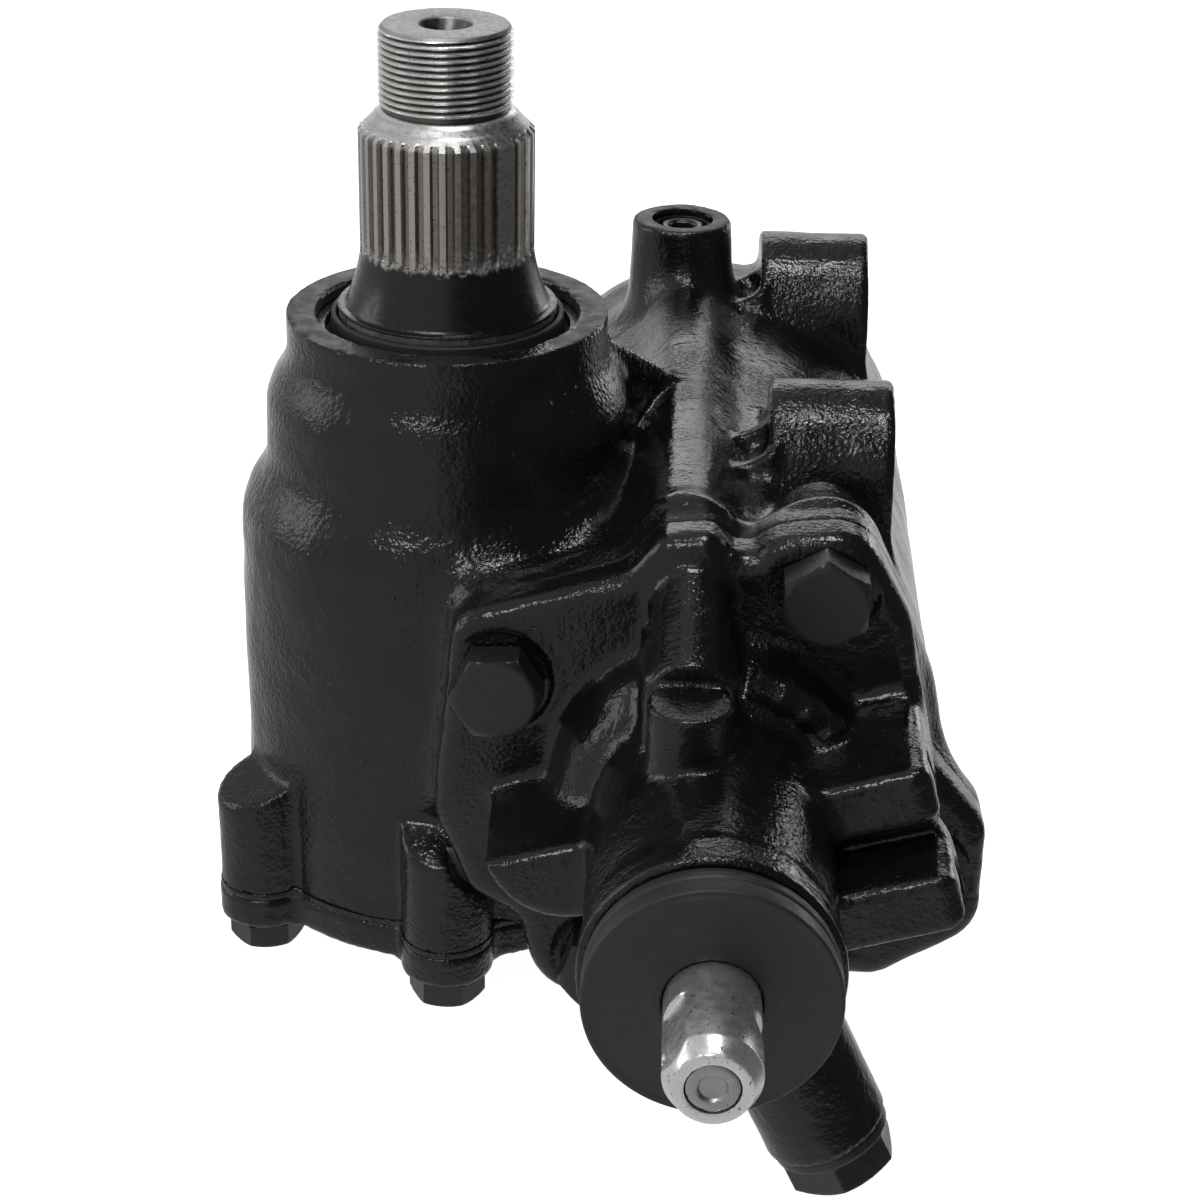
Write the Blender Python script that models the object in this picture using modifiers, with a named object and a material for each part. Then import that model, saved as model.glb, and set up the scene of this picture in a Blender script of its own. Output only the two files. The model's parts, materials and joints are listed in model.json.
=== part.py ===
"""Integral power steering gearbox: a rack piston driven by a recirculating-ball worm turns a
toothed sector shaft. Metres, +Z up. The worm axis lies along Y, the sector shaft stands along Z,
and the input shaft points to -Y. While it is modelled, the worm axis passes through X = 0, Z = 0
and the sector axis through Y = 0. At the end the whole assembly is stood on Z = 0, centred."""

import math

import bmesh
import bpy
from mathutils import Matrix, Vector

MM = 0.001

# General clearances
FACE_GAP = 0.3 * MM
FACE_TRIM = 0.05 * MM
JOINT_CLEARANCE = 0.8 * MM
RUNNING_GAP = 0.3 * MM
SHANK_GAP = 0.6 * MM

# Segment counts of turned pieces
FINE = 24
MEDIUM = 16
SMALL = 12
COARSE = 8

# Gear layout
LEAD = 12.0 * MM
MODULE = 6.0 * MM
SECTOR_PITCH_RADIUS = 33.0 * MM
RACK_PITCH_OFFSET = 29.7 * MM
CENTRE_DISTANCE = SECTOR_PITCH_RADIUS + RACK_PITCH_OFFSET
PRESSURE_ANGLE = math.radians(25.0)
ADDENDUM = 0.8 * MODULE
DEDENDUM = MODULE
BACKLASH = 0.5 * MM
SECTOR_FACE_WIDTH = 48.0 * MM
SECTOR_TEETH = 3
BORE_RADIUS = 41.0 * MM
FLANK_STEPS = 4
BACK_POINTS = 20
ROOT_FLARE = 0.02

# Sector housing: cavity and cover plane round the toothed sector, mouth round the shaft
SHAFT_RADIUS = 25.0 * MM
HOUSING_TOP = 84.6 * MM
MOUTH_RADIUS = SHAFT_RADIUS + 5.2 * MM
CAVITY_TOP = SECTOR_FACE_WIDTH / 2 + 7.0 * MM
BEARING_SEAT = CAVITY_TOP + 6.0 * MM
CAVITY_RADIUS = SECTOR_PITCH_RADIUS + ADDENDUM + 4.2 * MM
SHAFT_PASSAGE_RADIUS = SHAFT_RADIUS + 2.0 * MM
COVER_PLANE = -BORE_RADIUS - 9.0 * MM
CASTING_ALLOWANCE = 3.0 * MM
TOWER_TOP_RADIUS = MOUTH_RADIUS + 6.4 * MM
TOWER_RADIUS = CAVITY_RADIUS + 6.9 * MM
TOWER_PROFILE = (
    (TOWER_TOP_RADIUS, HOUSING_TOP),
    (TOWER_TOP_RADIUS, HOUSING_TOP - 10.6 * MM),
    (TOWER_TOP_RADIUS + 2.3 * MM, HOUSING_TOP - 13.1 * MM),
    (TOWER_TOP_RADIUS + 4.8 * MM, HOUSING_TOP - 19.6 * MM),
    (TOWER_TOP_RADIUS + 5.4 * MM, HOUSING_TOP - 35.6 * MM),
    (TOWER_RADIUS - 4.5 * MM, CAVITY_TOP + 15.8 * MM),
    (TOWER_RADIUS - 1.5 * MM, CAVITY_TOP + 10.0 * MM),
    (TOWER_RADIUS - 0.3 * MM, CAVITY_TOP),
    (TOWER_RADIUS, COVER_PLANE - CASTING_ALLOWANCE),
)
SNAP_GROOVE_RADIUS = MOUTH_RADIUS + 1.6 * MM
SNAP_GROOVE_LOW = HOUSING_TOP - 5.4 * MM
SNAP_RING_THICKNESS = 1.8 * MM
SNAP_RING_WIDTH = 3.4 * MM
SNAP_RING_OPENING = math.radians(26.0)
SNAP_RING_TURN = math.radians(115.0)
SNAP_RING_STEPS = 33

# Sector shaft, heights above the worm axis
SHAFT_CONE_LOW = HOUSING_TOP + 1.4 * MM
SHAFT_CONE_HIGH = SHAFT_CONE_LOW + 13.5 * MM
SHAFT_CONE_STEP = 4.0 * MM
SHAFT_CONE_LIP = 0.15
SHAFT_CONE_FOOT = 0.49
SPLINE_RADIUS = 19.7 * MM
SPLINE_DEPTH = 1.2 * MM
SPLINE_TEETH = 36
SPACE_TOP = 0.30
SPACE_FLOOR = 0.17
SPLINE_TOP = SHAFT_CONE_HIGH + 29.5 * MM
SPLINE_CHAMFER = 2.0 * MM
MASTER_TOOTH_ANGLE = math.radians(-43.0)
THREAD_RADIUS = 15.0 * MM
THREAD_RELIEF_RADIUS = THREAD_RADIUS - 1.4 * MM
THREAD_LOW = SPLINE_TOP + 3.5 * MM
THREAD_TOP = THREAD_LOW + 17.7 * MM
THREAD_CHAMFER = 1.3 * MM
CENTRE_DRILL_RADIUS = 6.0 * MM
CENTRE_DRILL_DEPTH = 6.5 * MM
CENTRE_DRILL_WALL = 3.9 * MM
CENTRE_HOLE_RADIUS = 2.3 * MM
JOURNAL_STEP = 2.0 * MM
LOWER_JOURNAL_RADIUS = 19.0 * MM
LOWER_JOURNAL_END = COVER_PLANE - 3.0 * MM
SLOT_RADIUS = 8.6 * MM
SLOT_DEPTH = 9.0 * MM

# Stack in the mouth of the sector housing, thicknesses from the bearing seat upwards
UPPER_BEARING_LENGTH = 23.0 * MM
OIL_SEAL_LENGTH = 9.0 * MM
OIL_SEAL_WALL = 1.6 * MM
SEAL_LIP_HEIGHT = 2.5 * MM
SEAL_LIP_EDGE = 1.0 * MM
DUST_LIP = 1.2 * MM
DUST_SEAL_LENGTH = SNAP_GROOVE_LOW - BEARING_SEAT - UPPER_BEARING_LENGTH - OIL_SEAL_LENGTH - 4 * FACE_GAP

# Side cover under the sector housing
COVER_THICKNESS = 8.0 * MM
COVER_RADIUS = TOWER_RADIUS + 0.1 * MM
LOWER_BEARING_OUTER = LOWER_JOURNAL_RADIUS + 4.5 * MM
LOWER_BEARING_INSET = 1.0 * MM
COVER_HUB_OUTER = LOWER_BEARING_OUTER + 6.5 * MM
COVER_HUB_TOP = -SECTOR_FACE_WIDTH / 2 - 3.5 * MM
COVER_BORE_DEPTH = LOWER_JOURNAL_END - 2.0 * MM
COVER_BOSS_RADIUS = LOWER_BEARING_OUTER + 2.5 * MM
COVER_BOSS_BOTTOM = COVER_BORE_DEPTH - 8.0 * MM
COVER_BOSS_CHAMFER = 3.0 * MM
COVER_BOLT_CIRCLE = CAVITY_RADIUS + 8.9 * MM
COVER_BOLT_START = math.radians(33.5)
COVER_BOLTS = 6
COVER_SHIFTED_BOLT = 2
COVER_BOLT_SHIFT = math.radians(-8.5)
COVER_LUG_RADIUS = 10.6 * MM
COVER_LUG_TOP = COVER_PLANE + 23.0 * MM
COVER_DOME_HEIGHT = 5.0 * MM
COVER_DOME_RADIUS = 5.0 * MM
COVER_DOME_LIMIT = 0.2
COVER_EAR_INSET = 0.4 * MM
COVER_BOLT_RADIUS = 5.0 * MM
COVER_BOLT_FLATS = 15.5 * MM
COVER_BOLT_HEAD = 6.8 * MM
COVER_BOLT_REACH = COVER_PLANE + 7.5 * MM
GASKET_THICKNESS = 0.9 * MM
GASKET_MARGIN = 0.8 * MM
ADJUSTER_RADIUS = 5.0 * MM
ADJUSTER_END = COVER_BOSS_BOTTOM - 10.0 * MM
ADJUSTER_CHAMFER = 0.8 * MM
ADJUSTER_HEAD_RADIUS = SLOT_RADIUS - 0.6 * MM
ADJUSTER_HEAD = 4.0 * MM
JAM_NUT_FLATS = 17.0 * MM
JAM_NUT_HEIGHT = 6.0 * MM

# Piston cylinder
BORE_CHAMFER = 1.5 * MM
CYLINDER_FRONT_RADIUS = BORE_RADIUS + 9.8 * MM
CYLINDER_REAR_RADIUS = BORE_RADIUS + 11.5 * MM
CYLINDER_REAR_CHAMFER = 2.5 * MM
PARTING = -55.0 * MM
FLANGE_BACK = PARTING + 11.0 * MM

# Rack piston
PISTON_RADIUS = BORE_RADIUS - 0.45 * MM
PISTON_CHAMFER = 2.0 * MM
PISTON_FRONT = PARTING + 25.0 * MM
PISTON_REAR = PISTON_FRONT + 133.0 * MM
PISTON_HOLLOW_END = PISTON_REAR - 13.0 * MM
PISTON_RING_Y = PISTON_REAR - 31.0 * MM
PISTON_RING_WIDTH = 4.0 * MM
PISTON_RING_DEPTH = 3.4 * MM
RACK_FLAT_END = 46.0 * MM
BORE_END = PISTON_REAR + 28.0 * MM
CYLINDER_REAR = BORE_END + 11.0 * MM
GUIDE_RADIUS = 3.9 * MM
GUIDE_RUN_X = PISTON_RADIUS - 11.05 * MM
GUIDE_CLEARANCE = FACE_GAP + 0.2 * MM
GUIDE_CORNER = 3.0 * MM
CLAMP_WIDTH = 11.0 * MM
CLAMP_THICKNESS = 2.0 * MM
CLAMP_HALF_LENGTH = 13.5 * MM
CLAMP_CLEARANCE = 0.6 * MM
CLAMP_SCREW_OFFSET = 9.3 * MM
CLAMP_SCREW_RADIUS = 2.0 * MM
CLAMP_SCREW_HEAD = 3.4 * MM
CLAMP_SCREW_HEAD_HEIGHT = 1.8 * MM
CLAMP_SCREW_REACH = 8.0 * MM
POPPET_RADIUS = 4.0 * MM
POPPET_INSET = 0.5 * MM

# Oil passage on top of the cylinder
RIDGE_X = -7.5 * MM
RIDGE_HEIGHT = CYLINDER_FRONT_RADIUS - 1.3 * MM
RIDGE_RADIUS = 9.2 * MM
RIDGE_END = 104.0 * MM
PASSAGE_RADIUS = 3.5 * MM
GALLERY_RADIUS = 3.1 * MM
PASSAGE_STEP = 0.1 * MM
PLUG_BOSS_X = RIDGE_X - 1.8 * MM
PLUG_BOSS_Y = RIDGE_END + 5.0 * MM
PLUG_BOSS_TOP = RIDGE_HEIGHT + 22.5 * MM
PLUG_RADIUS = 7.5 * MM
PLUG_BOSS_TOP_RADIUS = PLUG_RADIUS + 4.5 * MM
PLUG_BOSS_LOW_RADIUS = PLUG_BOSS_TOP_RADIUS + 2.0 * MM
PLUG_BOSS_ROOT = 8.0 * MM
PLUG_LENGTH = 10.0 * MM
PLUG_RECESS = 1.0 * MM
PLUG_SOCKET_FLATS = 6.0 * MM

# Frame mount bosses: half-round blocks whose flat ends face +X
MOUNT_FACE_X = 40.5 * MM
MOUNT_BACK_X = MOUNT_FACE_X - 28.5 * MM
MOUNT_RADIUS = 20.0 * MM
MOUNT_HEIGHT = CYLINDER_FRONT_RADIUS - 5.8 * MM
MOUNT_FOOT = MOUNT_HEIGHT - 21.0 * MM
FRONT_MOUNT_Y = 6.5 * MM
REAR_MOUNT_Y = 117.0 * MM
LOWER_MOUNT_Y = 62.0 * MM
MOUNT_HOLE_RADIUS = 7.0 * MM
MOUNT_HOLE_DEPTH = 25.0 * MM
RIB_THICKNESS = 4.0 * MM
RIB_INNER_X = -5.0 * MM
RIB_INNER_TOP = MOUNT_HEIGHT + 4.0 * MM
RIB_OUTER_TOP = MOUNT_HEIGHT + 11.0 * MM
RIB_ROOT = 1.0 * MM
RIB_SHIFTS = (-MOUNT_RADIUS + RIB_THICKNESS / 2 + 0.2 * MM, 0.5 * MM)
WEB_START = Vector((TOWER_TOP_RADIUS - CENTRE_DISTANCE - 1.9 * MM, 6.0 * MM, HOUSING_TOP - 7.6 * MM))
WEB_END = Vector((RIDGE_X - 3.0 * MM, 30.5 * MM, RIDGE_HEIGHT + 7.5 * MM))
WEB_FOOT = RIDGE_HEIGHT - 9.5 * MM

# Torsion bar, worm and valve
BAR_HEAD_RADIUS = 5.1 * MM
BAR_HEAD_LENGTH = 15.0 * MM
BAR_TAPER = 4.0 * MM
BAR_RADIUS = 3.3 * MM
BAR_PIN_RADIUS = 1.4 * MM
BAR_PIN_CLEARANCE = 0.25 * MM
STUB_RADIUS = BAR_HEAD_RADIUS + 2.5 * MM
INPUT_RADIUS = 9.525 * MM
INPUT_JOURNAL_RADIUS = INPUT_RADIUS + 1.475 * MM
SPOOL_RADIUS = INPUT_RADIUS + 3.375 * MM
SPOOL_SLOTS = 6
SPOOL_SLOT_RADIUS = 2.0 * MM
SPOOL_SLOT_RISE = 0.6 * MM
SPOOL_SLOT_END = 9.0 * MM
SLEEVE_INNER = SPOOL_RADIUS + 0.4 * MM
SLEEVE_OUTER = SLEEVE_INNER + 6.7 * MM
SLEEVE_LENGTH = 37.5 * MM
SLEEVE_RING_WIDTH = 2.4 * MM
SLEEVE_RING_DEPTH = 1.7 * MM
SLEEVE_RINGS = 3
RING_CROWN = 0.1 * MM
WORM_NECK_RADIUS = STUB_RADIUS + 5.4 * MM
WORM_RADIUS = WORM_NECK_RADIUS + 2.0 * MM
WORM_CHAMFER = 1.5 * MM
WORM_SHOULDER = 2.0 * MM
WORM_HEAD_RADIUS = WORM_NECK_RADIUS + 10.8 * MM
BALL_RADIUS = 3.175 * MM
BALL_CIRCLE = WORM_RADIUS + 1.0 * MM
HELIX_STEPS = 12
GROOVE_START = PISTON_FRONT - 2.0 * MM
GROOVE_END = 48.0 * MM
WORM_END = GROOVE_END + 3.0 * MM
CIRCUIT_START = -4.0 * MM
CIRCUIT_TURNS = 2
BEAD = ((-0.85, 0.5), (0.0, 1.0), (0.85, 0.5))
NUT_BORE = WORM_RADIUS + 1.7 * MM

# Valve housing, turned about the worm axis by VALVE_TILT as seen from the front
VALVE_TILT = math.radians(16.0)
VALVE_FLANGE_FRONT = PARTING - 10.0 * MM
VALVE_BOLT_CIRCLE = BORE_RADIUS + 11.07 * MM
VALVE_BOLT_START = math.radians(64.2)
VALVE_BOLTS = 4
VALVE_BOLT_RADIUS = 6.0 * MM
VALVE_BOLT_FLATS = 18.0 * MM
VALVE_BOLT_HEAD = 9.0 * MM
VALVE_BOLT_REACH = PARTING + 11.5 * MM
VALVE_LUG_RADIUS = 12.5 * MM
VALVE_LUG_END_RADIUS = 9.0 * MM
VALVE_LUG_BACK = VALVE_BOLT_REACH + 16.5 * MM
SPOT_FACE_RADIUS = 11.6 * MM
SPOT_FACE_DEPTH = 0.4 * MM
ADJUSTER_SEAT = VALVE_FLANGE_FRONT - 1.0 * MM
WORM_HEAD_BACK = ADJUSTER_SEAT - 3.3 * MM
WORM_HEAD_FRONT = WORM_HEAD_BACK - 5.7 * MM
WORM_HEAD_SEAT = WORM_HEAD_FRONT - 3.0 * MM
SLEEVE_BACK = WORM_HEAD_SEAT - 1.0 * MM
SLEEVE_FRONT = SLEEVE_BACK - SLEEVE_LENGTH
WORM_HEAD_BORE = WORM_HEAD_RADIUS + 0.7 * MM
ADJUSTER_SEAT_RADIUS = WORM_HEAD_BORE + 6.5 * MM
SPANNER_HOLE_CIRCLE = WORM_HEAD_BORE - 2.5 * MM
SPANNER_HOLE_RADIUS = 2.6 * MM
SPANNER_HOLES = 4
VALVE_BORE = SLEEVE_OUTER + 0.4 * MM
VALVE_BORE_END = SLEEVE_FRONT - 1.5 * MM
INPUT_BORE = INPUT_JOURNAL_RADIUS + 6.8 * MM
BELL_RADIUS = ADJUSTER_SEAT_RADIUS + 4.0 * MM
BELL_END = VALVE_FLANGE_FRONT - 17.0 * MM
BELL_ROOT = 2.0 * MM
BELL_SHOULDER = 3.0 * MM
BARREL_RADIUS = VALVE_BORE + 5.4 * MM
BARREL_FRONT = VALVE_BORE_END - 25.0 * MM
NOSE_RADIUS = BARREL_RADIUS + 0.8 * MM
NOSE_LENGTH = 9.0 * MM
NOSE_STEP = 1.5 * MM
FACE_RING_RADIUS = BORE_RADIUS + 2.3 * MM
FACE_RING_SECTION = 1.0 * MM

# Front end of the input shaft, its bearing, seal and dust disc
INPUT_BEARING_LENGTH = 8.2 * MM
JOURNAL_SHOULDER = 1.2 * MM
INPUT_SEAL_SPACING = 4.5 * MM
INPUT_SEAL_LENGTH = 7.0 * MM
INPUT_SEAL_WALL = 2.0 * MM
INPUT_SEAL_LIP = 2.4 * MM
DISC_RADIUS = BARREL_RADIUS - 0.35 * MM
DISC_THICKNESS = 8.8 * MM
DISC_CHAMFER = 0.9 * MM
DISC_FRONT = BARREL_FRONT - DISC_THICKNESS - 0.6 * MM
INPUT_TIP = DISC_FRONT - 27.3 * MM
INPUT_TIP_CHAMFER = 4.0 * MM
INPUT_TIP_INSET = 1.9 * MM
BAR_PIN_Y = INPUT_TIP + 7.7 * MM
BAR_PIN_INSET = 1.2 * MM
STUB_END = WORM_HEAD_BACK + 7.3 * MM
BAR_END = STUB_END + 19.0 * MM
SCALLOP_Y = INPUT_TIP + 17.0 * MM
SCALLOP_RADIUS = 4.5 * MM
SCALLOP_OFFSET = 2.4 * MM
CLAMP_FLAT_LENGTH = 20.0 * MM
CLAMP_FLAT_DEPTH = 1.0 * MM
CLAMP_FLAT_TURN = math.radians(30.0)

# Oil passage on the valve housing
DUCT_X = RIDGE_X + 2.0 * MM
DUCT_RADIUS = 7.8 * MM
DUCT_START_HEIGHT = RIDGE_HEIGHT - 5.2 * MM
DUCT_END_HEIGHT = BARREL_RADIUS + 8.2 * MM
STAR_BOSS_Y = VALVE_FLANGE_FRONT - 34.0 * MM
DUCT_END_Y = STAR_BOSS_Y + 6.0 * MM
STAR_BOSS_TOP = DUCT_END_HEIGHT + 2.0 * MM
STAR_BOSS_RADIUS = 8.6 * MM
STAR_BOSS_FOOT = BARREL_RADIUS - 15.8 * MM

# Port bosses on the right of the valve housing
UPPER_PORT_FACE = BARREL_RADIUS + 22.7 * MM
UPPER_PORT_Y = VALVE_FLANGE_FRONT - 24.0 * MM
UPPER_PORT_OFFSET = 1.5 * MM
LOWER_PORT_FACE = UPPER_PORT_FACE + 1.0 * MM
LOWER_PORT_Y = VALVE_FLANGE_FRONT - 36.5 * MM
LOWER_PORT_OFFSET = UPPER_PORT_OFFSET - 19.0 * MM
UPPER_PORT_REACH = 11.0 * MM
LOWER_PORT_REACH = 10.5 * MM
PORT_BLOCK_HEIGHT = 19.0 * MM
PORT_BLOCK_ROOT = BARREL_RADIUS - 13.8 * MM
PORT_RADIUS = 6.6 * MM
PORT_DEPTH = 15.0 * MM
PORT_PASSAGE_SHARE = 0.4
PORT_PASSAGE_START = 0.05
SEAT_LENGTH = 4.0 * MM
SEAT_HOLE_RADIUS = 2.4 * MM

# Left boss of the valve housing
LEFT_BOSS_REACH = BARREL_RADIUS + 21.2 * MM
LEFT_BOSS_HEIGHT = 18.0 * MM
LEFT_BOSS_FRONT = VALVE_FLANGE_FRONT - 27.0 * MM
LEFT_BOSS_ROOT = BARREL_RADIUS - 13.8 * MM

# Relief valve, in a boss that points down and to the right
RELIEF_ANGLE = math.radians(-65.0)
RELIEF_Y = VALVE_FLANGE_FRONT - 47.0 * MM
RELIEF_BOSS_RADIUS = 13.5 * MM
RELIEF_BOSS_END = BARREL_RADIUS + 36.2 * MM
RELIEF_BORE = 8.0 * MM
RELIEF_SEAT = BARREL_RADIUS + 4.2 * MM
RELIEF_CAP_FLATS = 22.0 * MM
RELIEF_CAP_FLANGE = 12.8 * MM
RELIEF_CAP_FLANGE_THICKNESS = 3.0 * MM
RELIEF_CAP_CHAMFER = 0.8 * MM
RELIEF_CAP_HEAD = 7.5 * MM
RELIEF_CAP_SHANK = 11.0 * MM
RELIEF_STROKE = 2.0 * MM
PLUNGER_LENGTH = 9.0 * MM
PLUNGER_STEP = 3.0 * MM
PLUNGER_CHAMFER = 2.5 * MM
PLUNGER_LIP = 0.8 * MM
PLUNGER_RADIUS = RELIEF_BORE - RUNNING_GAP - 0.2 * MM
SPRING_WIRE = 0.75 * MM
SPRING_TURNS = 4
SPRING_STEPS = 8

# Corners of the joint between the two housings, as X, Z and rounding in mm round the worm axis,
# drawn for a bolt circle of FLANGE_DRAWN_CIRCLE
FLANGE_DRAWN_CIRCLE = 52.07 * MM
FLANGE_CORNERS = (
    (-57.0, 37.5, 9.0),
    (-61.5, -12.0, 14.0),
    (-53.5, -32.0, 8.0),
    (-43.0, -38.0, 8.0),
    (-37.5, -57.0, 12.0),
    (-8.0, -61.0, 12.0),
    (10.0, -50.5, 14.0),
    (40.0, -50.5, 10.0),
    (61.5, -37.0, 12.0),
    (61.5, -10.5, 12.0),
    (48.5, 6.0, 12.0),
    (41.5, 40.0, 16.0),
    (31.0, 59.5, 11.0),
    (11.0, 57.5, 12.0),
    (4.0, 49.5, 5.0),
    (0.0, 58.5, 6.0),
    (-12.5, 57.0, 6.0),
    (-20.0, 48.0, 10.0),
)

# Corner chamfer of a bolt head: the crown's radius as a share of the flats, and the cone's slope
BOLT_CROWN_SHARE = 0.475
BOLT_CHAMFER_SLOPE = 1.6

# How far a cutter runs past the faces that it opens, and a blind hole past its bolt
CUT_OVERRUN = 5.0 * MM
HOLE_EXTRA = 1.2 * MM
PASSAGE_OVERLAP = 1.0 * MM

# Directions of a turned piece's axis
UPRIGHT = Matrix.Identity(4)
ALONG_Y = Matrix.Rotation(-math.pi / 2, 4, "X")
ALONG_X = Matrix.Rotation(math.pi / 2, 4, "Y")

BLACK_PAINT = ("black_paint", (0.012, 0.012, 0.014), 0.22, 0.0)
BLACK_BOLT = ("black_bolt", (0.02, 0.02, 0.022), 0.4, 0.6)
BRIGHT_STEEL = ("bright_steel", (0.55, 0.54, 0.52), 0.3, 1.0)
GROUND_STEEL = ("ground_steel", (0.42, 0.41, 0.39), 0.38, 1.0)
BEARING_STEEL = ("bearing_steel", (0.62, 0.62, 0.64), 0.22, 1.0)
SEAL_RUBBER = ("seal_rubber", (0.018, 0.018, 0.018), 0.7, 0.0)
GASKET_PAPER = ("gasket_paper", (0.12, 0.12, 0.1), 0.85, 0.0)
RING_POLYMER = ("ring_polymer", (0.05, 0.045, 0.04), 0.5, 0.0)


def start_scene():
    """Clears the scene and makes the collections for the parts and for the cutters."""
    for obj in list(bpy.data.objects):
        bpy.data.objects.remove(obj)
    collections = []
    for name in ("steering_gearbox", "cutters"):
        collection = bpy.data.collections.new(name)
        bpy.context.scene.collection.children.link(collection)
        collections.append(collection)
    return collections


PARTS, CUTTERS = start_scene()


def make_material(look):
    """Returns the Principled material of one look, made on first use."""
    name, colour, roughness, metallic = look
    material = bpy.data.materials.get(name)
    if material is None:
        material = bpy.data.materials.new(name)
        material.use_nodes = True
        shader = material.node_tree.nodes["Principled BSDF"]
        shader.inputs["Base Color"].default_value = (*colour, 1.0)
        shader.inputs["Roughness"].default_value = roughness
        shader.inputs["Metallic"].default_value = metallic
    return material


def add_object(name, mesh, look, matrix=UPRIGHT):
    """Links a mesh as a named sub-part."""
    obj = bpy.data.objects.new(name, mesh)
    obj.matrix_world = matrix
    if not mesh.materials:
        mesh.materials.append(make_material(look))
    PARTS.objects.link(obj)
    return obj


def as_cutter(obj):
    """Moves a helper object to the cutters."""
    PARTS.objects.unlink(obj)
    CUTTERS.objects.link(obj)
    obj.hide_render = True
    obj.display_type = "WIRE"
    return obj


def combine(target, tool, operation="DIFFERENCE"):
    """Adds a Boolean of a helper object to a target."""
    modifier = target.modifiers.new(tool.name, "BOOLEAN")
    modifier.operation = operation
    modifier.object = as_cutter(tool) if tool.name in PARTS.objects else tool
    return target


def cut(target, *tools):
    for tool in tools:
        combine(target, tool)


def join(target, *tools):
    for tool in tools:
        combine(target, tool, "UNION")


def placed(origin, direction=UPRIGHT):
    """Matrix that puts a local frame at a point, with its axis turned to a direction."""
    return Matrix.Translation(Vector(origin)) @ direction


def towards(direction):
    """Rotation that turns the local Z axis to a direction."""
    return Vector(direction).to_track_quat("Z", "Y").to_matrix().to_4x4()


def turned(name, profile, look=BLACK_PAINT, matrix=UPRIGHT, steps=FINE):
    """A turned piece. The profile's (radius, height) points run down its outer side."""
    mesh = bpy.data.meshes.new(name)
    points = [(radius, 0.0, height) for radius, height in profile]
    edges = [(i, i + 1) for i in range(len(points) - 1)]
    if profile[0][0] > 0.0:
        edges.append((len(points) - 1, 0))
    mesh.from_pydata(points, edges, [])
    obj = add_object(name, mesh, look, matrix)
    screw = obj.modifiers.new("turn", "SCREW")
    screw.axis = "Z"
    screw.steps = steps
    screw.render_steps = steps
    screw.use_merge_vertices = True
    screw.merge_threshold = 0.00001
    screw.use_smooth_shade = True
    return obj


def solid_turned(name, outline, look=BLACK_PAINT, matrix=UPRIGHT, steps=FINE):
    """A turned solid without a bore: the outline, from top to bottom, is closed on the axis."""
    profile = [(0.0, outline[0][1])] + list(outline) + [(0.0, outline[-1][1])]
    return turned(name, profile, look, matrix, steps)


def ring(name, inner, outer, low, high, look, matrix=UPRIGHT, steps=MEDIUM):
    """A plain ring."""
    return turned(name, [(outer, high), (outer, low), (inner, low), (inner, high)], look, matrix, steps)


def bar(name, radius, start, end, look=BLACK_PAINT, end_radius=None, steps=MEDIUM):
    """A round bar, or a cone, from one point to another."""
    start, end = Vector(start), Vector(end)
    bm = bmesh.new()
    bmesh.ops.create_cone(
        bm,
        cap_ends=True,
        segments=steps,
        radius1=radius,
        radius2=radius if end_radius is None else end_radius,
        depth=(end - start).length,
        matrix=Matrix.Translation((0, 0, (end - start).length / 2)),
    )
    mesh = bpy.data.meshes.new(name)
    bm.to_mesh(mesh)
    bm.free()
    mesh.shade_smooth()
    mesh.set_sharp_from_angle(angle=math.radians(30))
    return add_object(name, mesh, look, placed(start, towards(end - start)))


def block(name, low, high, look=BLACK_PAINT, matrix=UPRIGHT, rounding=0.0):
    """A box between two corners of a local frame, with its edges rounded."""
    low, high = Vector(low), Vector(high)
    bm = bmesh.new()
    size = Matrix.Diagonal((*(high - low), 1.0))
    bmesh.ops.create_cube(bm, size=1.0, matrix=Matrix.Translation((low + high) / 2) @ size)
    mesh = bpy.data.meshes.new(name)
    bm.to_mesh(mesh)
    bm.free()
    obj = add_object(name, mesh, look, matrix)
    if rounding > 0.0:
        bevel = obj.modifiers.new("rounding", "BEVEL")
        bevel.width = rounding
        bevel.segments = 2
    return obj


def plate(name, outline, low, high, look=BLACK_PAINT, matrix=UPRIGHT):
    """A flat outline in the local XY plane, extruded between two local heights."""
    curve = bpy.data.curves.new(name, "CURVE")
    curve.dimensions = "2D"
    curve.fill_mode = "BOTH"
    curve.extrude = (high - low) / 2
    spline = curve.splines.new("POLY")
    spline.points.add(len(outline) - 1)
    for point, (x, y) in zip(spline.points, outline):
        point.co = (x, y, 0.0, 1.0)
    spline.use_cyclic_u = True
    shift = Matrix.Translation((0, 0, (low + high) / 2))
    return meshed(name, curve, look, matrix @ shift)


def meshed(name, curve, look, matrix=UPRIGHT):
    """Turns a curve into a mesh object with welded caps."""
    helper = bpy.data.objects.new(name, curve)
    PARTS.objects.link(helper)
    bpy.context.view_layer.update()
    evaluated = helper.evaluated_get(bpy.context.evaluated_depsgraph_get())
    mesh = bpy.data.meshes.new_from_object(evaluated)
    bpy.data.objects.remove(helper)
    bm = bmesh.new()
    bm.from_mesh(mesh)
    bmesh.ops.remove_doubles(bm, verts=bm.verts, dist=0.000001)
    bmesh.ops.recalc_face_normals(bm, faces=bm.faces)
    bm.to_mesh(mesh)
    bm.free()
    mesh.name = name
    mesh.materials.clear()
    return add_object(name, mesh, look, matrix)


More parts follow.
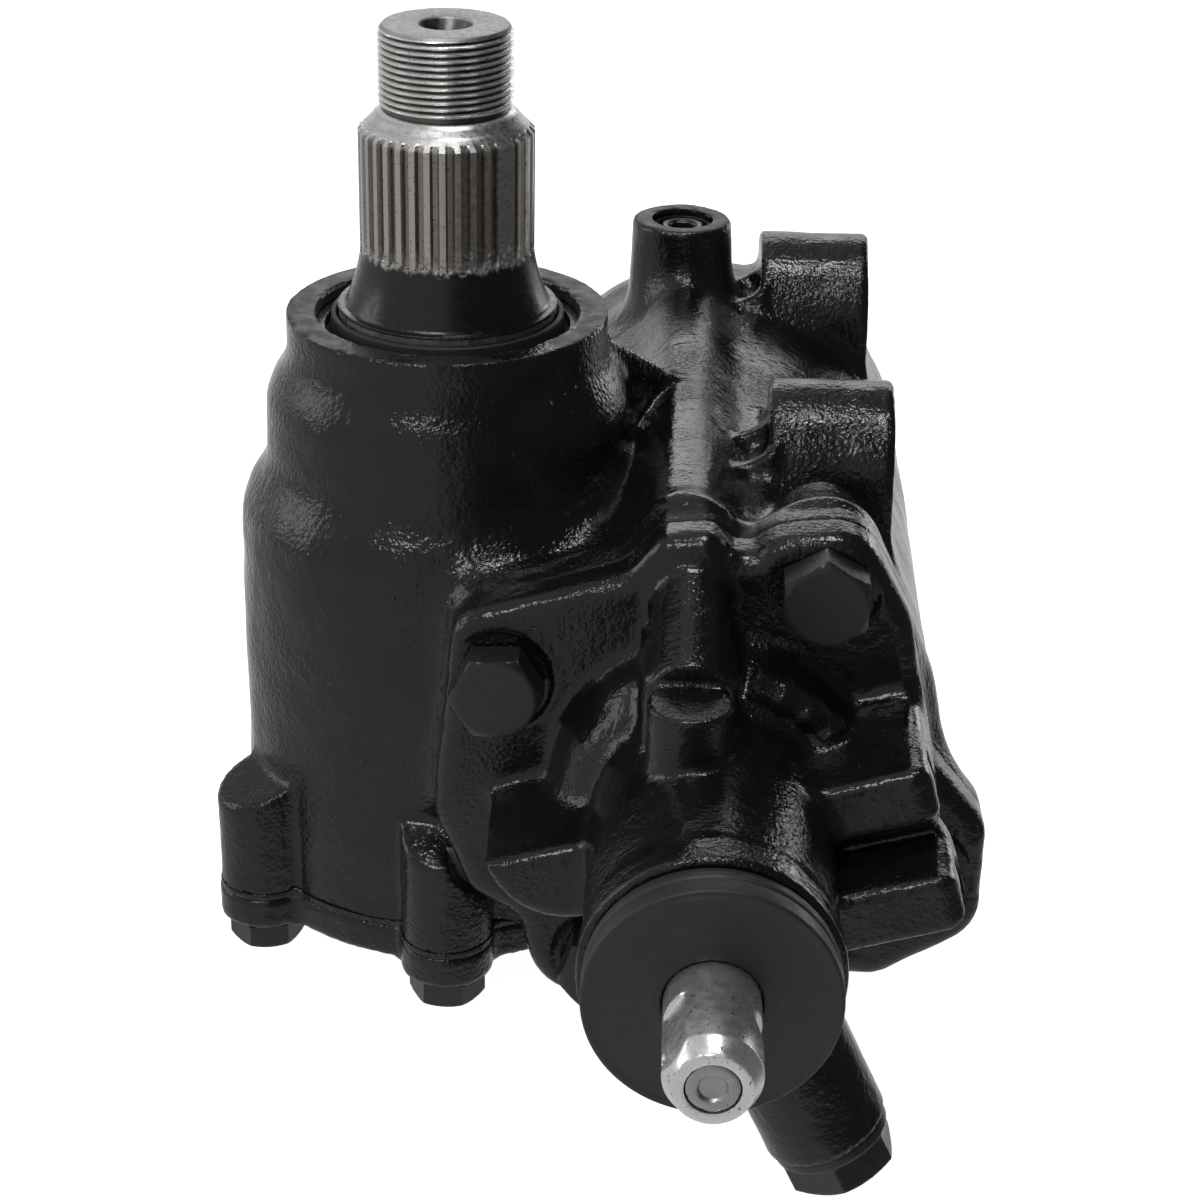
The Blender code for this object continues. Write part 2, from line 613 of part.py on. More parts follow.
def tube(name, path, radius, look=BLACK_PAINT, radii=None, closed=False, resolution=2):
    """A round tube along a list of points; radii scale it point by point."""
    curve = bpy.data.curves.new(name, "CURVE")
    curve.dimensions = "3D"
    curve.bevel_depth = radius
    curve.bevel_resolution = resolution
    curve.use_fill_caps = not closed
    spline = curve.splines.new("POLY")
    spline.points.add(len(path) - 1)
    for i, place in enumerate(path):
        spline.points[i].co = (*place, 1.0)
        spline.points[i].radius = 1.0 if radii is None else radii[i]
    spline.use_cyclic_u = closed
    return meshed(name, curve, look)


def circle_points(radius, count, centre=(0.0, 0.0), start=0.0, end=2 * math.pi):
    """Points of an arc; a full circle doesn't repeat its first point."""
    whole = abs(end - start - 2 * math.pi) < 1e-9
    step = (end - start) / (count if whole else count - 1)
    return [
        (centre[0] + radius * math.cos(start + i * step), centre[1] + radius * math.sin(start + i * step))
        for i in range(count)
    ]


def rounded_outline(corners, steps=2):
    """Outline through (x, y, radius) corners, each rounded by an arc."""
    outline = []
    for i, (x, y, radius) in enumerate(corners):
        here = Vector((x, y))
        before = (Vector(corners[i - 1][:2]) - here).normalized()
        after = (Vector(corners[(i + 1) % len(corners)][:2]) - here).normalized()
        half = before.angle(after) / 2
        reach = radius / math.tan(half)
        centre = here + (before + after).normalized() * (radius / math.sin(half))
        first = here + before * reach - centre
        last = here + after * reach - centre
        sweep = first.angle_signed(last)
        for k in range(steps + 1):
            turn = Matrix.Rotation(-sweep * k / steps, 2)
            point = centre + turn @ first
            outline.append((point.x, point.y))
    return outline


def around_worm(radius, angle, y):
    """Point at an angle round the worm axis, measured from +X towards +Z."""
    return Vector((radius * math.cos(angle), y, radius * math.sin(angle)))


def around_sector(radius, angle, z):
    """Point at an angle round the sector axis."""
    return Vector((radius * math.cos(angle) - CENTRE_DISTANCE, radius * math.sin(angle), z))


def hexagon(flats):
    """Corner radius of a hexagon from its width across flats."""
    return flats / math.sqrt(3)


def tidied(obj, angle=math.radians(1.0)):
    """Merges the flat faces that the Booleans split."""
    dissolve = obj.modifiers.new("flat_faces", "DECIMATE")
    dissolve.decimate_type = "DISSOLVE"
    dissolve.angle_limit = angle
    return obj


def frozen(obj):
    """Applies an object's modifiers, so that copies can share the mesh."""
    bpy.context.view_layer.update()
    evaluated = obj.evaluated_get(bpy.context.evaluated_depsgraph_get())
    mesh = bpy.data.meshes.new_from_object(evaluated)
    mesh.name = obj.name
    obj.modifiers.clear()
    obj.data = mesh
    return obj


SECTOR_AXIS = placed((-CENTRE_DISTANCE, 0, 0))
WORM_AXIS = ALONG_Y
RELIEF_DIRECTION = around_worm(1.0, RELIEF_ANGLE, 0.0)
RELIEF_AXIS = placed((0, RELIEF_Y, 0), towards(RELIEF_DIRECTION))
PORT_FRAME = Matrix.Rotation(-VALVE_TILT, 4, "Y")


def valve_bolt_angles():
    return [VALVE_BOLT_START + i * 2 * math.pi / VALVE_BOLTS for i in range(VALVE_BOLTS)]


def cover_bolt_angles():
    """Even spacing, but for the one bolt that stays clear of the tower's left side."""
    angles = [COVER_BOLT_START + i * 2 * math.pi / COVER_BOLTS for i in range(COVER_BOLTS)]
    angles[COVER_SHIFTED_BOLT] += COVER_BOLT_SHIFT
    return angles


def flange_outline(grow=0.0):
    """Outline of the joint between the two housings, as (X, Z) points round the worm axis."""
    scale = MM * VALVE_BOLT_CIRCLE / FLANGE_DRAWN_CIRCLE
    outline = []
    for x, z, radius in FLANGE_CORNERS:
        corner = Vector((x, z)) * scale
        corner += corner.normalized() * grow
        outline.append((corner.x, corner.y, radius * MM))
    return rounded_outline(outline)


def flange_plate(name, front, back, grow=0.0):
    """The flange outline as a plate across the worm axis."""
    facing = Matrix.Rotation(math.pi / 2, 4, "X")
    return plate(name, flange_outline(grow), -back, -front, BLACK_PAINT, facing)


def mount_block(name, y, upwards=True):
    """A frame mount boss: a half-round block along X that stands on the cylinder."""
    side = 1.0 if upwards else -1.0
    arc = circle_points(MOUNT_RADIUS, COARSE + 1, end=math.pi)
    outline = [(y - MOUNT_RADIUS, side * MOUNT_FOOT)]
    outline += [(y + a, side * (MOUNT_HEIGHT + b)) for a, b in reversed(arc)]
    outline += [(y + MOUNT_RADIUS, side * MOUNT_FOOT)]
    facing = Matrix(((0, 0, 1, 0), (1, 0, 0, 0), (0, 1, 0, 0), (0, 0, 0, 1)))
    return plate(name, outline, MOUNT_BACK_X, MOUNT_FACE_X, BLACK_PAINT, facing)


def mount_centres():
    """Centres of the three frame mount faces."""
    return [
        Vector((MOUNT_FACE_X, FRONT_MOUNT_Y, MOUNT_HEIGHT)),
        Vector((MOUNT_FACE_X, REAR_MOUNT_Y, MOUNT_HEIGHT)),
        Vector((MOUNT_FACE_X, LOWER_MOUNT_Y, -MOUNT_HEIGHT)),
    ]


def upright_rib(name, start, end):
    """A flat rib between two upper corners, down to a common foot inside the cylinder's wall."""
    along = Vector((end.x - start.x, end.y - start.y, 0.0))
    across = Vector((0, 0, 1)).cross(along.normalized())
    facing = Matrix.Identity(4)
    for column, axis in enumerate((along.normalized(), Vector((0, 0, 1)), -across)):
        facing.col[column][:3] = axis
    facing.translation = Vector((start.x, start.y, 0.0))
    outline = [(0.0, WEB_FOOT), (along.length, WEB_FOOT), (along.length, end.z), (0.0, start.z)]
    return plate(name, outline, -RIB_THICKNESS / 2, RIB_THICKNESS / 2, BLACK_PAINT, facing)


def build_gear_housing():
    """The main casting: sector tower, piston cylinder, bolt lugs, mounts and the oil ridge."""
    housing = solid_turned("gear_housing", TOWER_PROFILE, BLACK_PAINT, SECTOR_AXIS)
    cylinder = solid_turned(
        "cylinder_form",
        [
            (CYLINDER_REAR_RADIUS - CYLINDER_REAR_CHAMFER, CYLINDER_REAR),
            (CYLINDER_REAR_RADIUS, CYLINDER_REAR - CYLINDER_REAR_CHAMFER),
            (CYLINDER_FRONT_RADIUS, FLANGE_BACK - 4.0 * MM),
        ],
        matrix=WORM_AXIS,
    )
    join(housing, cylinder, flange_plate("flange_form", PARTING + FACE_GAP / 2, FLANGE_BACK))
    for i, angle in enumerate(cover_bolt_angles()):
        foot = around_sector(COVER_BOLT_CIRCLE, angle, COVER_PLANE - CASTING_ALLOWANCE)
        waist = around_sector(COVER_BOLT_CIRCLE, angle, COVER_LUG_TOP)
        top = around_sector(COVER_BOLT_CIRCLE - COVER_DOME_RADIUS, angle, COVER_LUG_TOP + COVER_DOME_HEIGHT)
        join(housing, bar(f"cover_lug_{i + 1}", COVER_LUG_RADIUS, foot, waist, steps=SMALL))
        if math.cos(angle) < COVER_DOME_LIMIT:
            name = f"cover_lug_dome_{i + 1}"
            join(housing, bar(name, COVER_LUG_RADIUS, waist, top, end_radius=COVER_DOME_RADIUS, steps=SMALL))
    for i, angle in enumerate(valve_bolt_angles()):
        front = around_worm(VALVE_BOLT_CIRCLE, angle, FLANGE_BACK - 1.0 * MM)
        back = around_worm(VALVE_BOLT_CIRCLE, angle, VALVE_LUG_BACK)
        name = f"valve_lug_{i + 1}"
        join(housing, bar(name, VALVE_LUG_RADIUS, front, back, end_radius=VALVE_LUG_END_RADIUS, steps=SMALL))
    ridge_start = (RIDGE_X, FLANGE_BACK - 1.5 * MM, RIDGE_HEIGHT)
    join(
        housing,
        bar("ridge_form", RIDGE_RADIUS, ridge_start, (RIDGE_X, RIDGE_END, RIDGE_HEIGHT), steps=SMALL),
        bar(
            "plug_boss_form",
            PLUG_BOSS_LOW_RADIUS,
            (PLUG_BOSS_X, PLUG_BOSS_Y, RIDGE_HEIGHT - PLUG_BOSS_ROOT),
            (PLUG_BOSS_X, PLUG_BOSS_Y, PLUG_BOSS_TOP),
            end_radius=PLUG_BOSS_TOP_RADIUS,
            steps=SMALL,
        ),
        mount_block("front_mount_form", FRONT_MOUNT_Y),
        mount_block("rear_mount_form", REAR_MOUNT_Y),
        mount_block("lower_mount_form", LOWER_MOUNT_Y, upwards=False),
        upright_rib("web_form", WEB_START, WEB_END),
    )
    for i, y in enumerate((FRONT_MOUNT_Y, REAR_MOUNT_Y)):
        for k, shift in enumerate(RIB_SHIFTS):
            start = Vector((RIB_INNER_X, y + shift, RIB_INNER_TOP))
            end = Vector((MOUNT_BACK_X + RIB_ROOT, y + shift, RIB_OUTER_TOP))
            join(housing, upright_rib(f"mount_rib_{2 * i + k + 1}", start, end))
    cut_gear_housing(housing)
    return tidied(housing)


def cut_gear_housing(housing):
    """Machined faces, bores, threads' holes and oil passages of the main casting."""
    reach = COVER_BOLT_CIRCLE + 2 * COVER_LUG_RADIUS
    cover_trim = solid_turned(
        "cover_face_cut",
        [(reach, COVER_PLANE), (reach, COVER_PLANE - CASTING_ALLOWANCE - CUT_OVERRUN)],
        matrix=SECTOR_AXIS,
    )
    tower_bore = solid_turned(
        "tower_bore_cut",
        [
            (MOUTH_RADIUS, HOUSING_TOP + CUT_OVERRUN),
            (MOUTH_RADIUS, SNAP_GROOVE_LOW + SNAP_RING_THICKNESS + 2 * FACE_GAP),
            (SNAP_GROOVE_RADIUS, SNAP_GROOVE_LOW + SNAP_RING_THICKNESS + 2 * FACE_GAP),
            (SNAP_GROOVE_RADIUS, SNAP_GROOVE_LOW),
            (MOUTH_RADIUS, SNAP_GROOVE_LOW),
            (MOUTH_RADIUS, BEARING_SEAT),
            (SHAFT_PASSAGE_RADIUS, BEARING_SEAT),
            (SHAFT_PASSAGE_RADIUS, CAVITY_TOP),
            (CAVITY_RADIUS, CAVITY_TOP),
            (CAVITY_RADIUS, COVER_PLANE - CUT_OVERRUN),
        ],
        matrix=SECTOR_AXIS,
    )
    piston_bore = solid_turned(
        "piston_bore_cut",
        [
            (BORE_RADIUS - BORE_CHAMFER, BORE_END),
            (BORE_RADIUS, BORE_END - BORE_CHAMFER),
            (BORE_RADIUS, PARTING - CUT_OVERRUN),
        ],
        matrix=WORM_AXIS,
    )
    trim_back = PARTING + FACE_GAP / 2 + FACE_TRIM
    joint_trim = flange_plate("joint_face_cut", VALVE_FLANGE_FRONT - CUT_OVERRUN, trim_back, JOINT_CLEARANCE)
    cut(housing, cover_trim, tower_bore, piston_bore, joint_trim)
    for i, angle in enumerate(cover_bolt_angles()):
        low = around_sector(COVER_BOLT_CIRCLE, angle, COVER_PLANE - CUT_OVERRUN)
        high = around_sector(COVER_BOLT_CIRCLE, angle, COVER_BOLT_REACH + HOLE_EXTRA)
        cut(housing, bar(f"cover_hole_{i + 1}", COVER_BOLT_RADIUS + SHANK_GAP, low, high, steps=COARSE))
    for i, angle in enumerate(valve_bolt_angles()):
        front = around_worm(VALVE_BOLT_CIRCLE, angle, PARTING - CUT_OVERRUN)
        back = around_worm(VALVE_BOLT_CIRCLE, angle, VALVE_BOLT_REACH + HOLE_EXTRA)
        cut(housing, bar(f"valve_hole_{i + 1}", VALVE_BOLT_RADIUS + SHANK_GAP, front, back, steps=COARSE))
    for i, centre in enumerate(mount_centres()):
        mouth = centre + Vector((CUT_OVERRUN, 0, 0))
        bottom = centre - Vector((MOUNT_HOLE_DEPTH, 0, 0))
        cut(housing, bar(f"mount_hole_{i + 1}", MOUNT_HOLE_RADIUS, mouth, bottom, steps=COARSE))
    plug_floor = PLUG_BOSS_TOP - PLUG_RECESS - PLUG_LENGTH - FACE_GAP
    plug_top = (PLUG_BOSS_X, PLUG_BOSS_Y, PLUG_BOSS_TOP + CUT_OVERRUN)
    plug_low = (PLUG_BOSS_X, PLUG_BOSS_Y, plug_floor)
    drain_top = (PLUG_BOSS_X, PLUG_BOSS_Y, plug_floor + PASSAGE_OVERLAP)
    drain_low = (PLUG_BOSS_X, PLUG_BOSS_Y, BORE_RADIUS - CUT_OVERRUN)
    gallery_start = (RIDGE_X, PARTING - CUT_OVERRUN, RIDGE_HEIGHT)
    gallery_end = (RIDGE_X, PLUG_BOSS_Y, RIDGE_HEIGHT)
    cut(
        housing,
        bar("plug_hole", PLUG_RADIUS + SHANK_GAP, plug_top, plug_low, steps=SMALL),
        bar("drop_passage", PASSAGE_RADIUS, drain_top, drain_low, steps=COARSE),
        bar("gallery_passage", GALLERY_RADIUS, gallery_start, gallery_end, steps=COARSE),
    )


def build_side_cover():
    """Cover under the sector shaft, with the lower bearing's hub and the adjuster's boss."""
    top = COVER_PLANE - GASKET_THICKNESS - 2 * FACE_GAP
    bottom = top - COVER_THICKNESS
    bore = LOWER_BEARING_OUTER + RUNNING_GAP
    cover = turned(
        "side_cover",
        [
            (COVER_HUB_OUTER, COVER_HUB_TOP),
            (COVER_HUB_OUTER, top),
            (COVER_RADIUS, top),
            (COVER_RADIUS, bottom),
            (COVER_BOSS_RADIUS, bottom),
            (COVER_BOSS_RADIUS - COVER_BOSS_CHAMFER, COVER_BOSS_BOTTOM),
            (ADJUSTER_RADIUS + SHANK_GAP, COVER_BOSS_BOTTOM),
            (ADJUSTER_RADIUS + SHANK_GAP, COVER_BORE_DEPTH),
            (bore, COVER_BORE_DEPTH),
            (bore, COVER_HUB_TOP),
        ],
        matrix=SECTOR_AXIS,
    )
    for i, angle in enumerate(cover_bolt_angles()):
        high = around_sector(COVER_BOLT_CIRCLE, angle, top)
        low = around_sector(COVER_BOLT_CIRCLE, angle, bottom)
        join(cover, bar(f"cover_ear_{i + 1}", COVER_LUG_RADIUS - COVER_EAR_INSET, high, low, steps=SMALL))
    for i, angle in enumerate(cover_bolt_angles()):
        high = around_sector(COVER_BOLT_CIRCLE, angle, top + CUT_OVERRUN)
        low = around_sector(COVER_BOLT_CIRCLE, angle, bottom - CUT_OVERRUN)
        cut(cover, bar(f"ear_hole_{i + 1}", COVER_BOLT_RADIUS + SHANK_GAP, high, low, steps=COARSE))
    tidied(cover)
    return bottom


def build_cover_gasket():
    """Thin gasket between the cover and the main casting."""
    high = COVER_PLANE - FACE_GAP
    low = high - GASKET_THICKNESS
    inner = CAVITY_RADIUS + GASKET_MARGIN
    outer = COVER_BOLT_CIRCLE - COVER_BOLT_RADIUS - GASKET_MARGIN
    ring("cover_gasket", inner, outer, low, high, GASKET_PAPER, SECTOR_AXIS, FINE)


def hex_bolt(name, flats, head, radius, length):
    """A hexagon bolt with chamfered corners: the head stands below Z = 0 and the shank above."""
    bolt = bar(name, hexagon(flats), (0, 0, 0), (0, 0, -head), BLACK_BOLT, steps=6)
    wide = flats / 2 + head * BOLT_CHAMFER_SLOPE
    narrow = flats * BOLT_CROWN_SHARE
    chamfer = bar(f"{name}_chamfer", wide, (0, 0, MM), (0, 0, -head), end_radius=narrow, steps=SMALL)
    combine(bolt, chamfer, "INTERSECT")
    join(bolt, bar(f"{name}_shank", radius, (0, 0, -head / 2), (0, 0, length), steps=COARSE))
    return frozen(bolt)


def copies(first, matrices, names):
    """Places a piece and its copies, which share one mesh."""
    start = first.matrix_world.copy()
    for i, (matrix, name) in enumerate(zip(matrices, names)):
        obj = first if i == 0 else bpy.data.objects.new(name, first.data)
        if i > 0:
            PARTS.objects.link(obj)
        obj.name = name
        obj.matrix_world = matrix @ start


def build_bolts(cover_bottom):
    """The cover's bolts and the valve housing's bolts."""
    seat = cover_bottom - FACE_GAP
    bolt = hex_bolt(
        "cover_bolt_1", COVER_BOLT_FLATS, COVER_BOLT_HEAD, COVER_BOLT_RADIUS, COVER_BOLT_REACH - seat
    )
    places = [Matrix.Translation(around_sector(COVER_BOLT_CIRCLE, a, seat)) for a in cover_bolt_angles()]
    copies(bolt, places, [f"cover_bolt_{i + 1}" for i in range(COVER_BOLTS)])
    seat = VALVE_FLANGE_FRONT + SPOT_FACE_DEPTH - FACE_GAP
    bolt = hex_bolt(
        "valve_housing_bolt_1", VALVE_BOLT_FLATS, VALVE_BOLT_HEAD, VALVE_BOLT_RADIUS, VALVE_BOLT_REACH - seat
    )
    places = [placed(around_worm(VALVE_BOLT_CIRCLE, a, seat), ALONG_Y) for a in valve_bolt_angles()]
    copies(bolt, places, [f"valve_housing_bolt_{i + 1}" for i in range(VALVE_BOLTS)])


def sector_outline():
    """Outline of the toothed sector: three involute teeth on a round root."""
    base = SECTOR_PITCH_RADIUS * math.cos(PRESSURE_ANGLE)
    tip = SECTOR_PITCH_RADIUS + ADDENDUM
    root = SECTOR_PITCH_RADIUS - DEDENDUM
    pitch_angle = math.pi * MODULE / SECTOR_PITCH_RADIUS
    half_at_pitch = (math.pi * MODULE / 2 - BACKLASH) / (2 * SECTOR_PITCH_RADIUS)

    def involute(angle):
        return math.tan(angle) - angle

    flank = []
    for k in range(FLANK_STEPS + 1):
        radius = base + (tip - base) * k / FLANK_STEPS
        half = half_at_pitch + involute(PRESSURE_ANGLE) - involute(math.acos(min(1.0, base / radius)))
        flank.append((radius, half))
    flank.insert(0, (root, flank[0][1] + ROOT_FLARE))
    outline = []
    for i in range(SECTOR_TEETH):
        centre = (i - (SECTOR_TEETH - 1) / 2) * pitch_angle
        rising = [(radius, centre - half) for radius, half in flank]
        falling = [(radius, centre + half) for radius, half in reversed(flank)]
        outline += rising + falling
    last = outline[-1][1]
    first = outline[0][1] + 2 * math.pi
    spacing = (first - last) / (BACK_POINTS + 1)
    outline += [(root, last + spacing * (k + 1)) for k in range(BACK_POINTS)]
    return [(radius * math.cos(angle), radius * math.sin(angle)) for radius, angle in outline]


def build_sector_shaft():
    """Output shaft: thread, splines, journals and the toothed sector in one forging."""
    half_face = SECTOR_FACE_WIDTH / 2
    tip = THREAD_RADIUS - THREAD_CHAMFER
    cone = SHAFT_RADIUS - SPLINE_RADIUS
    shaft = turned(
        "sector_shaft",
        [
            (0.0, THREAD_TOP - CENTRE_DRILL_DEPTH),
            (CENTRE_HOLE_RADIUS, THREAD_TOP - CENTRE_DRILL_DEPTH),
            (CENTRE_HOLE_RADIUS, THREAD_TOP - CENTRE_DRILL_WALL),
            (CENTRE_DRILL_RADIUS, THREAD_TOP),
            (tip, THREAD_TOP),
            (THREAD_RADIUS, THREAD_TOP - THREAD_CHAMFER),
            (THREAD_RADIUS, THREAD_LOW + THREAD_CHAMFER),
            (THREAD_RELIEF_RADIUS, THREAD_LOW),
            (THREAD_RELIEF_RADIUS, SPLINE_TOP + SPLINE_CHAMFER),
            (THREAD_RELIEF_RADIUS + SPLINE_CHAMFER, SPLINE_TOP),
            (SPLINE_RADIUS - SPLINE_CHAMFER, SPLINE_TOP),
            (SPLINE_RADIUS, SPLINE_TOP - SPLINE_CHAMFER),
            (SPLINE_RADIUS, SHAFT_CONE_HIGH),
            (SPLINE_RADIUS + cone * SHAFT_CONE_LIP, SHAFT_CONE_HIGH - SHAFT_CONE_STEP),
            (SPLINE_RADIUS + cone * SHAFT_CONE_FOOT, SHAFT_CONE_LOW + SHAFT_CONE_STEP),
            (SHAFT_RADIUS, SHAFT_CONE_LOW),
            (SHAFT_RADIUS, -half_face - JOURNAL_STEP),
            (LOWER_JOURNAL_RADIUS, -half_face - JOURNAL_STEP),
            (LOWER_JOURNAL_RADIUS, LOWER_JOURNAL_END),
            (SLOT_RADIUS, LOWER_JOURNAL_END),
            (SLOT_RADIUS, LOWER_JOURNAL_END + SLOT_DEPTH),
            (0.0, LOWER_JOURNAL_END + SLOT_DEPTH),
        ],
        GROUND_STEEL,
        SECTOR_AXIS,
    )
    join(shaft, plate("sector_teeth", sector_outline(), -half_face, half_face, matrix=SECTOR_AXIS))
    cut(shaft, spline_cutter())
    return tidied(shaft)


def spline_cutter():
    """Ring of grooves round the splined end; one groove is left out for the master tooth."""
    outline = []
    pitch = 2 * math.pi / SPLINE_TEETH
    outer = SPLINE_RADIUS + 2 * SPLINE_DEPTH
    root = SPLINE_RADIUS - SPLINE_DEPTH
    top = SPLINE_RADIUS + SPLINE_DEPTH / 6
    for i in range(SPLINE_TEETH):
        centre = i * pitch
        floor = top if i == 0 else root
        space = ((top, -SPACE_TOP), (floor, -SPACE_FLOOR), (floor, SPACE_FLOOR), (top, SPACE_TOP))
        for radius, turn in space:
            angle = centre + turn * pitch
            outline.append((radius * math.cos(angle), radius * math.sin(angle)))
    master = Matrix.Rotation(MASTER_TOOTH_ANGLE, 4, "Z")
    low = SHAFT_CONE_HIGH
    high = SPLINE_TOP + MM
    shell = bar("spline_cut", outer, (-CENTRE_DISTANCE, 0, low), (-CENTRE_DISTANCE, 0, high), steps=FINE)
    core = plate("spline_core", outline, low - MM, high + MM, matrix=SECTOR_AXIS @ master)
    cut(shell, core)
    return shell


def build_sector_stack():
    """Bearing, seals and snap ring round the sector shaft."""
    inner = SHAFT_RADIUS + RUNNING_GAP
    outer = MOUTH_RADIUS - RUNNING_GAP
    low = BEARING_SEAT + FACE_GAP
    high = low + UPPER_BEARING_LENGTH
    ring("sector_upper_bearing", inner, outer, low, high, BEARING_STEEL, SECTOR_AXIS, FINE)
    low = high + FACE_GAP
    high = low + OIL_SEAL_LENGTH
    turned(
        "sector_oil_seal",
        [
            (outer, high),
            (outer, low),
            (outer - OIL_SEAL_WALL, low),
            (outer - OIL_SEAL_WALL, high - SEAL_LIP_HEIGHT),
            (inner, low + SEAL_LIP_EDGE),
            (inner, low + SEAL_LIP_HEIGHT),
            (inner + SEAL_LIP_EDGE, high),
        ],
        SEAL_RUBBER,
        SECTOR_AXIS,
    )
    low = high + FACE_GAP
    high = low + DUST_SEAL_LENGTH
    turned(
        "sector_dust_seal",
        [(outer, high), (outer, low), (inner, low), (inner, high + DUST_LIP), (inner + DUST_LIP, high)],
        SEAL_RUBBER,
        SECTOR_AXIS,
    )
    snap_outer = SNAP_GROOVE_RADIUS - RUNNING_GAP
    start = SNAP_RING_OPENING / 2
    end = 2 * math.pi - start
    outside = circle_points(snap_outer, SNAP_RING_STEPS, start=start, end=end)
    inside = circle_points(snap_outer - SNAP_RING_WIDTH, SNAP_RING_STEPS, start=start, end=end)
    outline = outside + inside[::-1]
    low = SNAP_GROOVE_LOW + FACE_GAP
    turn = Matrix.Rotation(SNAP_RING_TURN, 4, "Z")
    plate("sector_snap_ring", outline, low, low + SNAP_RING_THICKNESS, BEARING_STEEL, SECTOR_AXIS @ turn)
    ring(
        "sector_lower_bearing",
        LOWER_JOURNAL_RADIUS + RUNNING_GAP,
        LOWER_BEARING_OUTER,
        COVER_BORE_DEPTH + FACE_GAP,
        COVER_HUB_TOP - LOWER_BEARING_INSET,
        BEARING_STEEL,
        SECTOR_AXIS,
        FINE,
    )


def build_adjuster():
    """Lash adjuster: a screw whose head sits in the sector shaft's end, its jam nut and retainer."""
    head_low = LOWER_JOURNAL_END + SLOT_DEPTH - ADJUSTER_HEAD - FACE_GAP
    solid_turned(
        "lash_adjuster_screw",
        [
            (ADJUSTER_HEAD_RADIUS, head_low + ADJUSTER_HEAD),
            (ADJUSTER_HEAD_RADIUS, head_low),
            (ADJUSTER_RADIUS, head_low),
            (ADJUSTER_RADIUS, ADJUSTER_END + ADJUSTER_CHAMFER),
            (ADJUSTER_RADIUS - ADJUSTER_CHAMFER, ADJUSTER_END),
        ],
        BEARING_STEEL,
        SECTOR_AXIS,
        SMALL,
    )
    ring(
        "lash_retainer",
        ADJUSTER_RADIUS + RUNNING_GAP,
        SLOT_RADIUS - RUNNING_GAP,
        LOWER_JOURNAL_END + FACE_GAP,
        head_low - FACE_GAP,
        BEARING_STEEL,
        SECTOR_AXIS,
        SMALL,
    )
    top = COVER_BOSS_BOTTOM - FACE_GAP
    axis = Vector((-CENTRE_DISTANCE, 0, 0))
    nut = bar(
        "adjuster_jam_nut",
        hexagon(JAM_NUT_FLATS),
        axis + Vector((0, 0, top)),
        axis + Vector((0, 0, top - JAM_NUT_HEIGHT)),
        BLACK_BOLT,
        steps=6,
    )
    hole_high = axis + Vector((0, 0, top + MM))
    hole_low = axis + Vector((0, 0, top - JAM_NUT_HEIGHT - MM))
    cut(nut, bar("jam_nut_hole", ADJUSTER_RADIUS + RUNNING_GAP, hole_high, hole_low, steps=SMALL))


def build_valve_housing():
    """The bolted front casting with the rotary valve's bore, the ports and the relief boss."""
    back = PARTING - FACE_GAP / 2
    bell_root = VALVE_FLANGE_FRONT + BELL_ROOT
    upper_front = UPPER_PORT_Y - UPPER_PORT_REACH
    lower_front = LOWER_PORT_Y - LOWER_PORT_REACH
    lower_back = LOWER_PORT_Y + LOWER_PORT_REACH
    housing = flange_plate("valve_housing", VALVE_FLANGE_FRONT, back)
    bell = solid_turned(
        "bell_form",
        [
            (BELL_RADIUS, bell_root),
            (BELL_RADIUS - BELL_SHOULDER, VALVE_FLANGE_FRONT - 2 * BELL_SHOULDER),
            (BARREL_RADIUS + BELL_SHOULDER, BELL_END + BELL_SHOULDER),
            (BARREL_RADIUS, BELL_END),
            (BARREL_RADIUS, BARREL_FRONT + NOSE_LENGTH + NOSE_STEP),
            (NOSE_RADIUS, BARREL_FRONT + NOSE_LENGTH),
            (NOSE_RADIUS, BARREL_FRONT),
        ],
        matrix=WORM_AXIS,
    )
    duct_start = Vector((DUCT_X, bell_root, DUCT_START_HEIGHT))
    duct_end = Vector((DUCT_X, DUCT_END_Y, DUCT_END_HEIGHT))
    star_top = Vector((DUCT_X, STAR_BOSS_Y, STAR_BOSS_TOP))
    star_foot = Vector((DUCT_X, STAR_BOSS_Y, STAR_BOSS_FOOT))
    relief_end = Vector((0, RELIEF_Y, 0)) + RELIEF_DIRECTION * RELIEF_BOSS_END
    join(
        housing,
        bell,
        bar("duct_form", DUCT_RADIUS, duct_start, duct_end, steps=SMALL),
        bar("star_boss_form", STAR_BOSS_RADIUS, star_foot, star_top, steps=SMALL),
        bar("relief_form", RELIEF_BOSS_RADIUS, (0, RELIEF_Y, 0), relief_end, steps=MEDIUM),
        port_block("upper_port_form", UPPER_PORT_FACE, upper_front, bell_root, UPPER_PORT_OFFSET),
        port_block("lower_port_form", LOWER_PORT_FACE, lower_front, lower_back, LOWER_PORT_OFFSET),
        left_boss("left_boss_form"),
    )
    cut_valve_housing(housing)
    return tidied(housing)


def port_block(name, face, front, back, offset):
    """A port boss: a block in the tilted frame, whose flat end is the port's face."""
    low = (PORT_BLOCK_ROOT, front, offset - PORT_BLOCK_HEIGHT / 2)
    high = (face, back, offset + PORT_BLOCK_HEIGHT / 2)
    return block(name, low, high, matrix=PORT_FRAME)


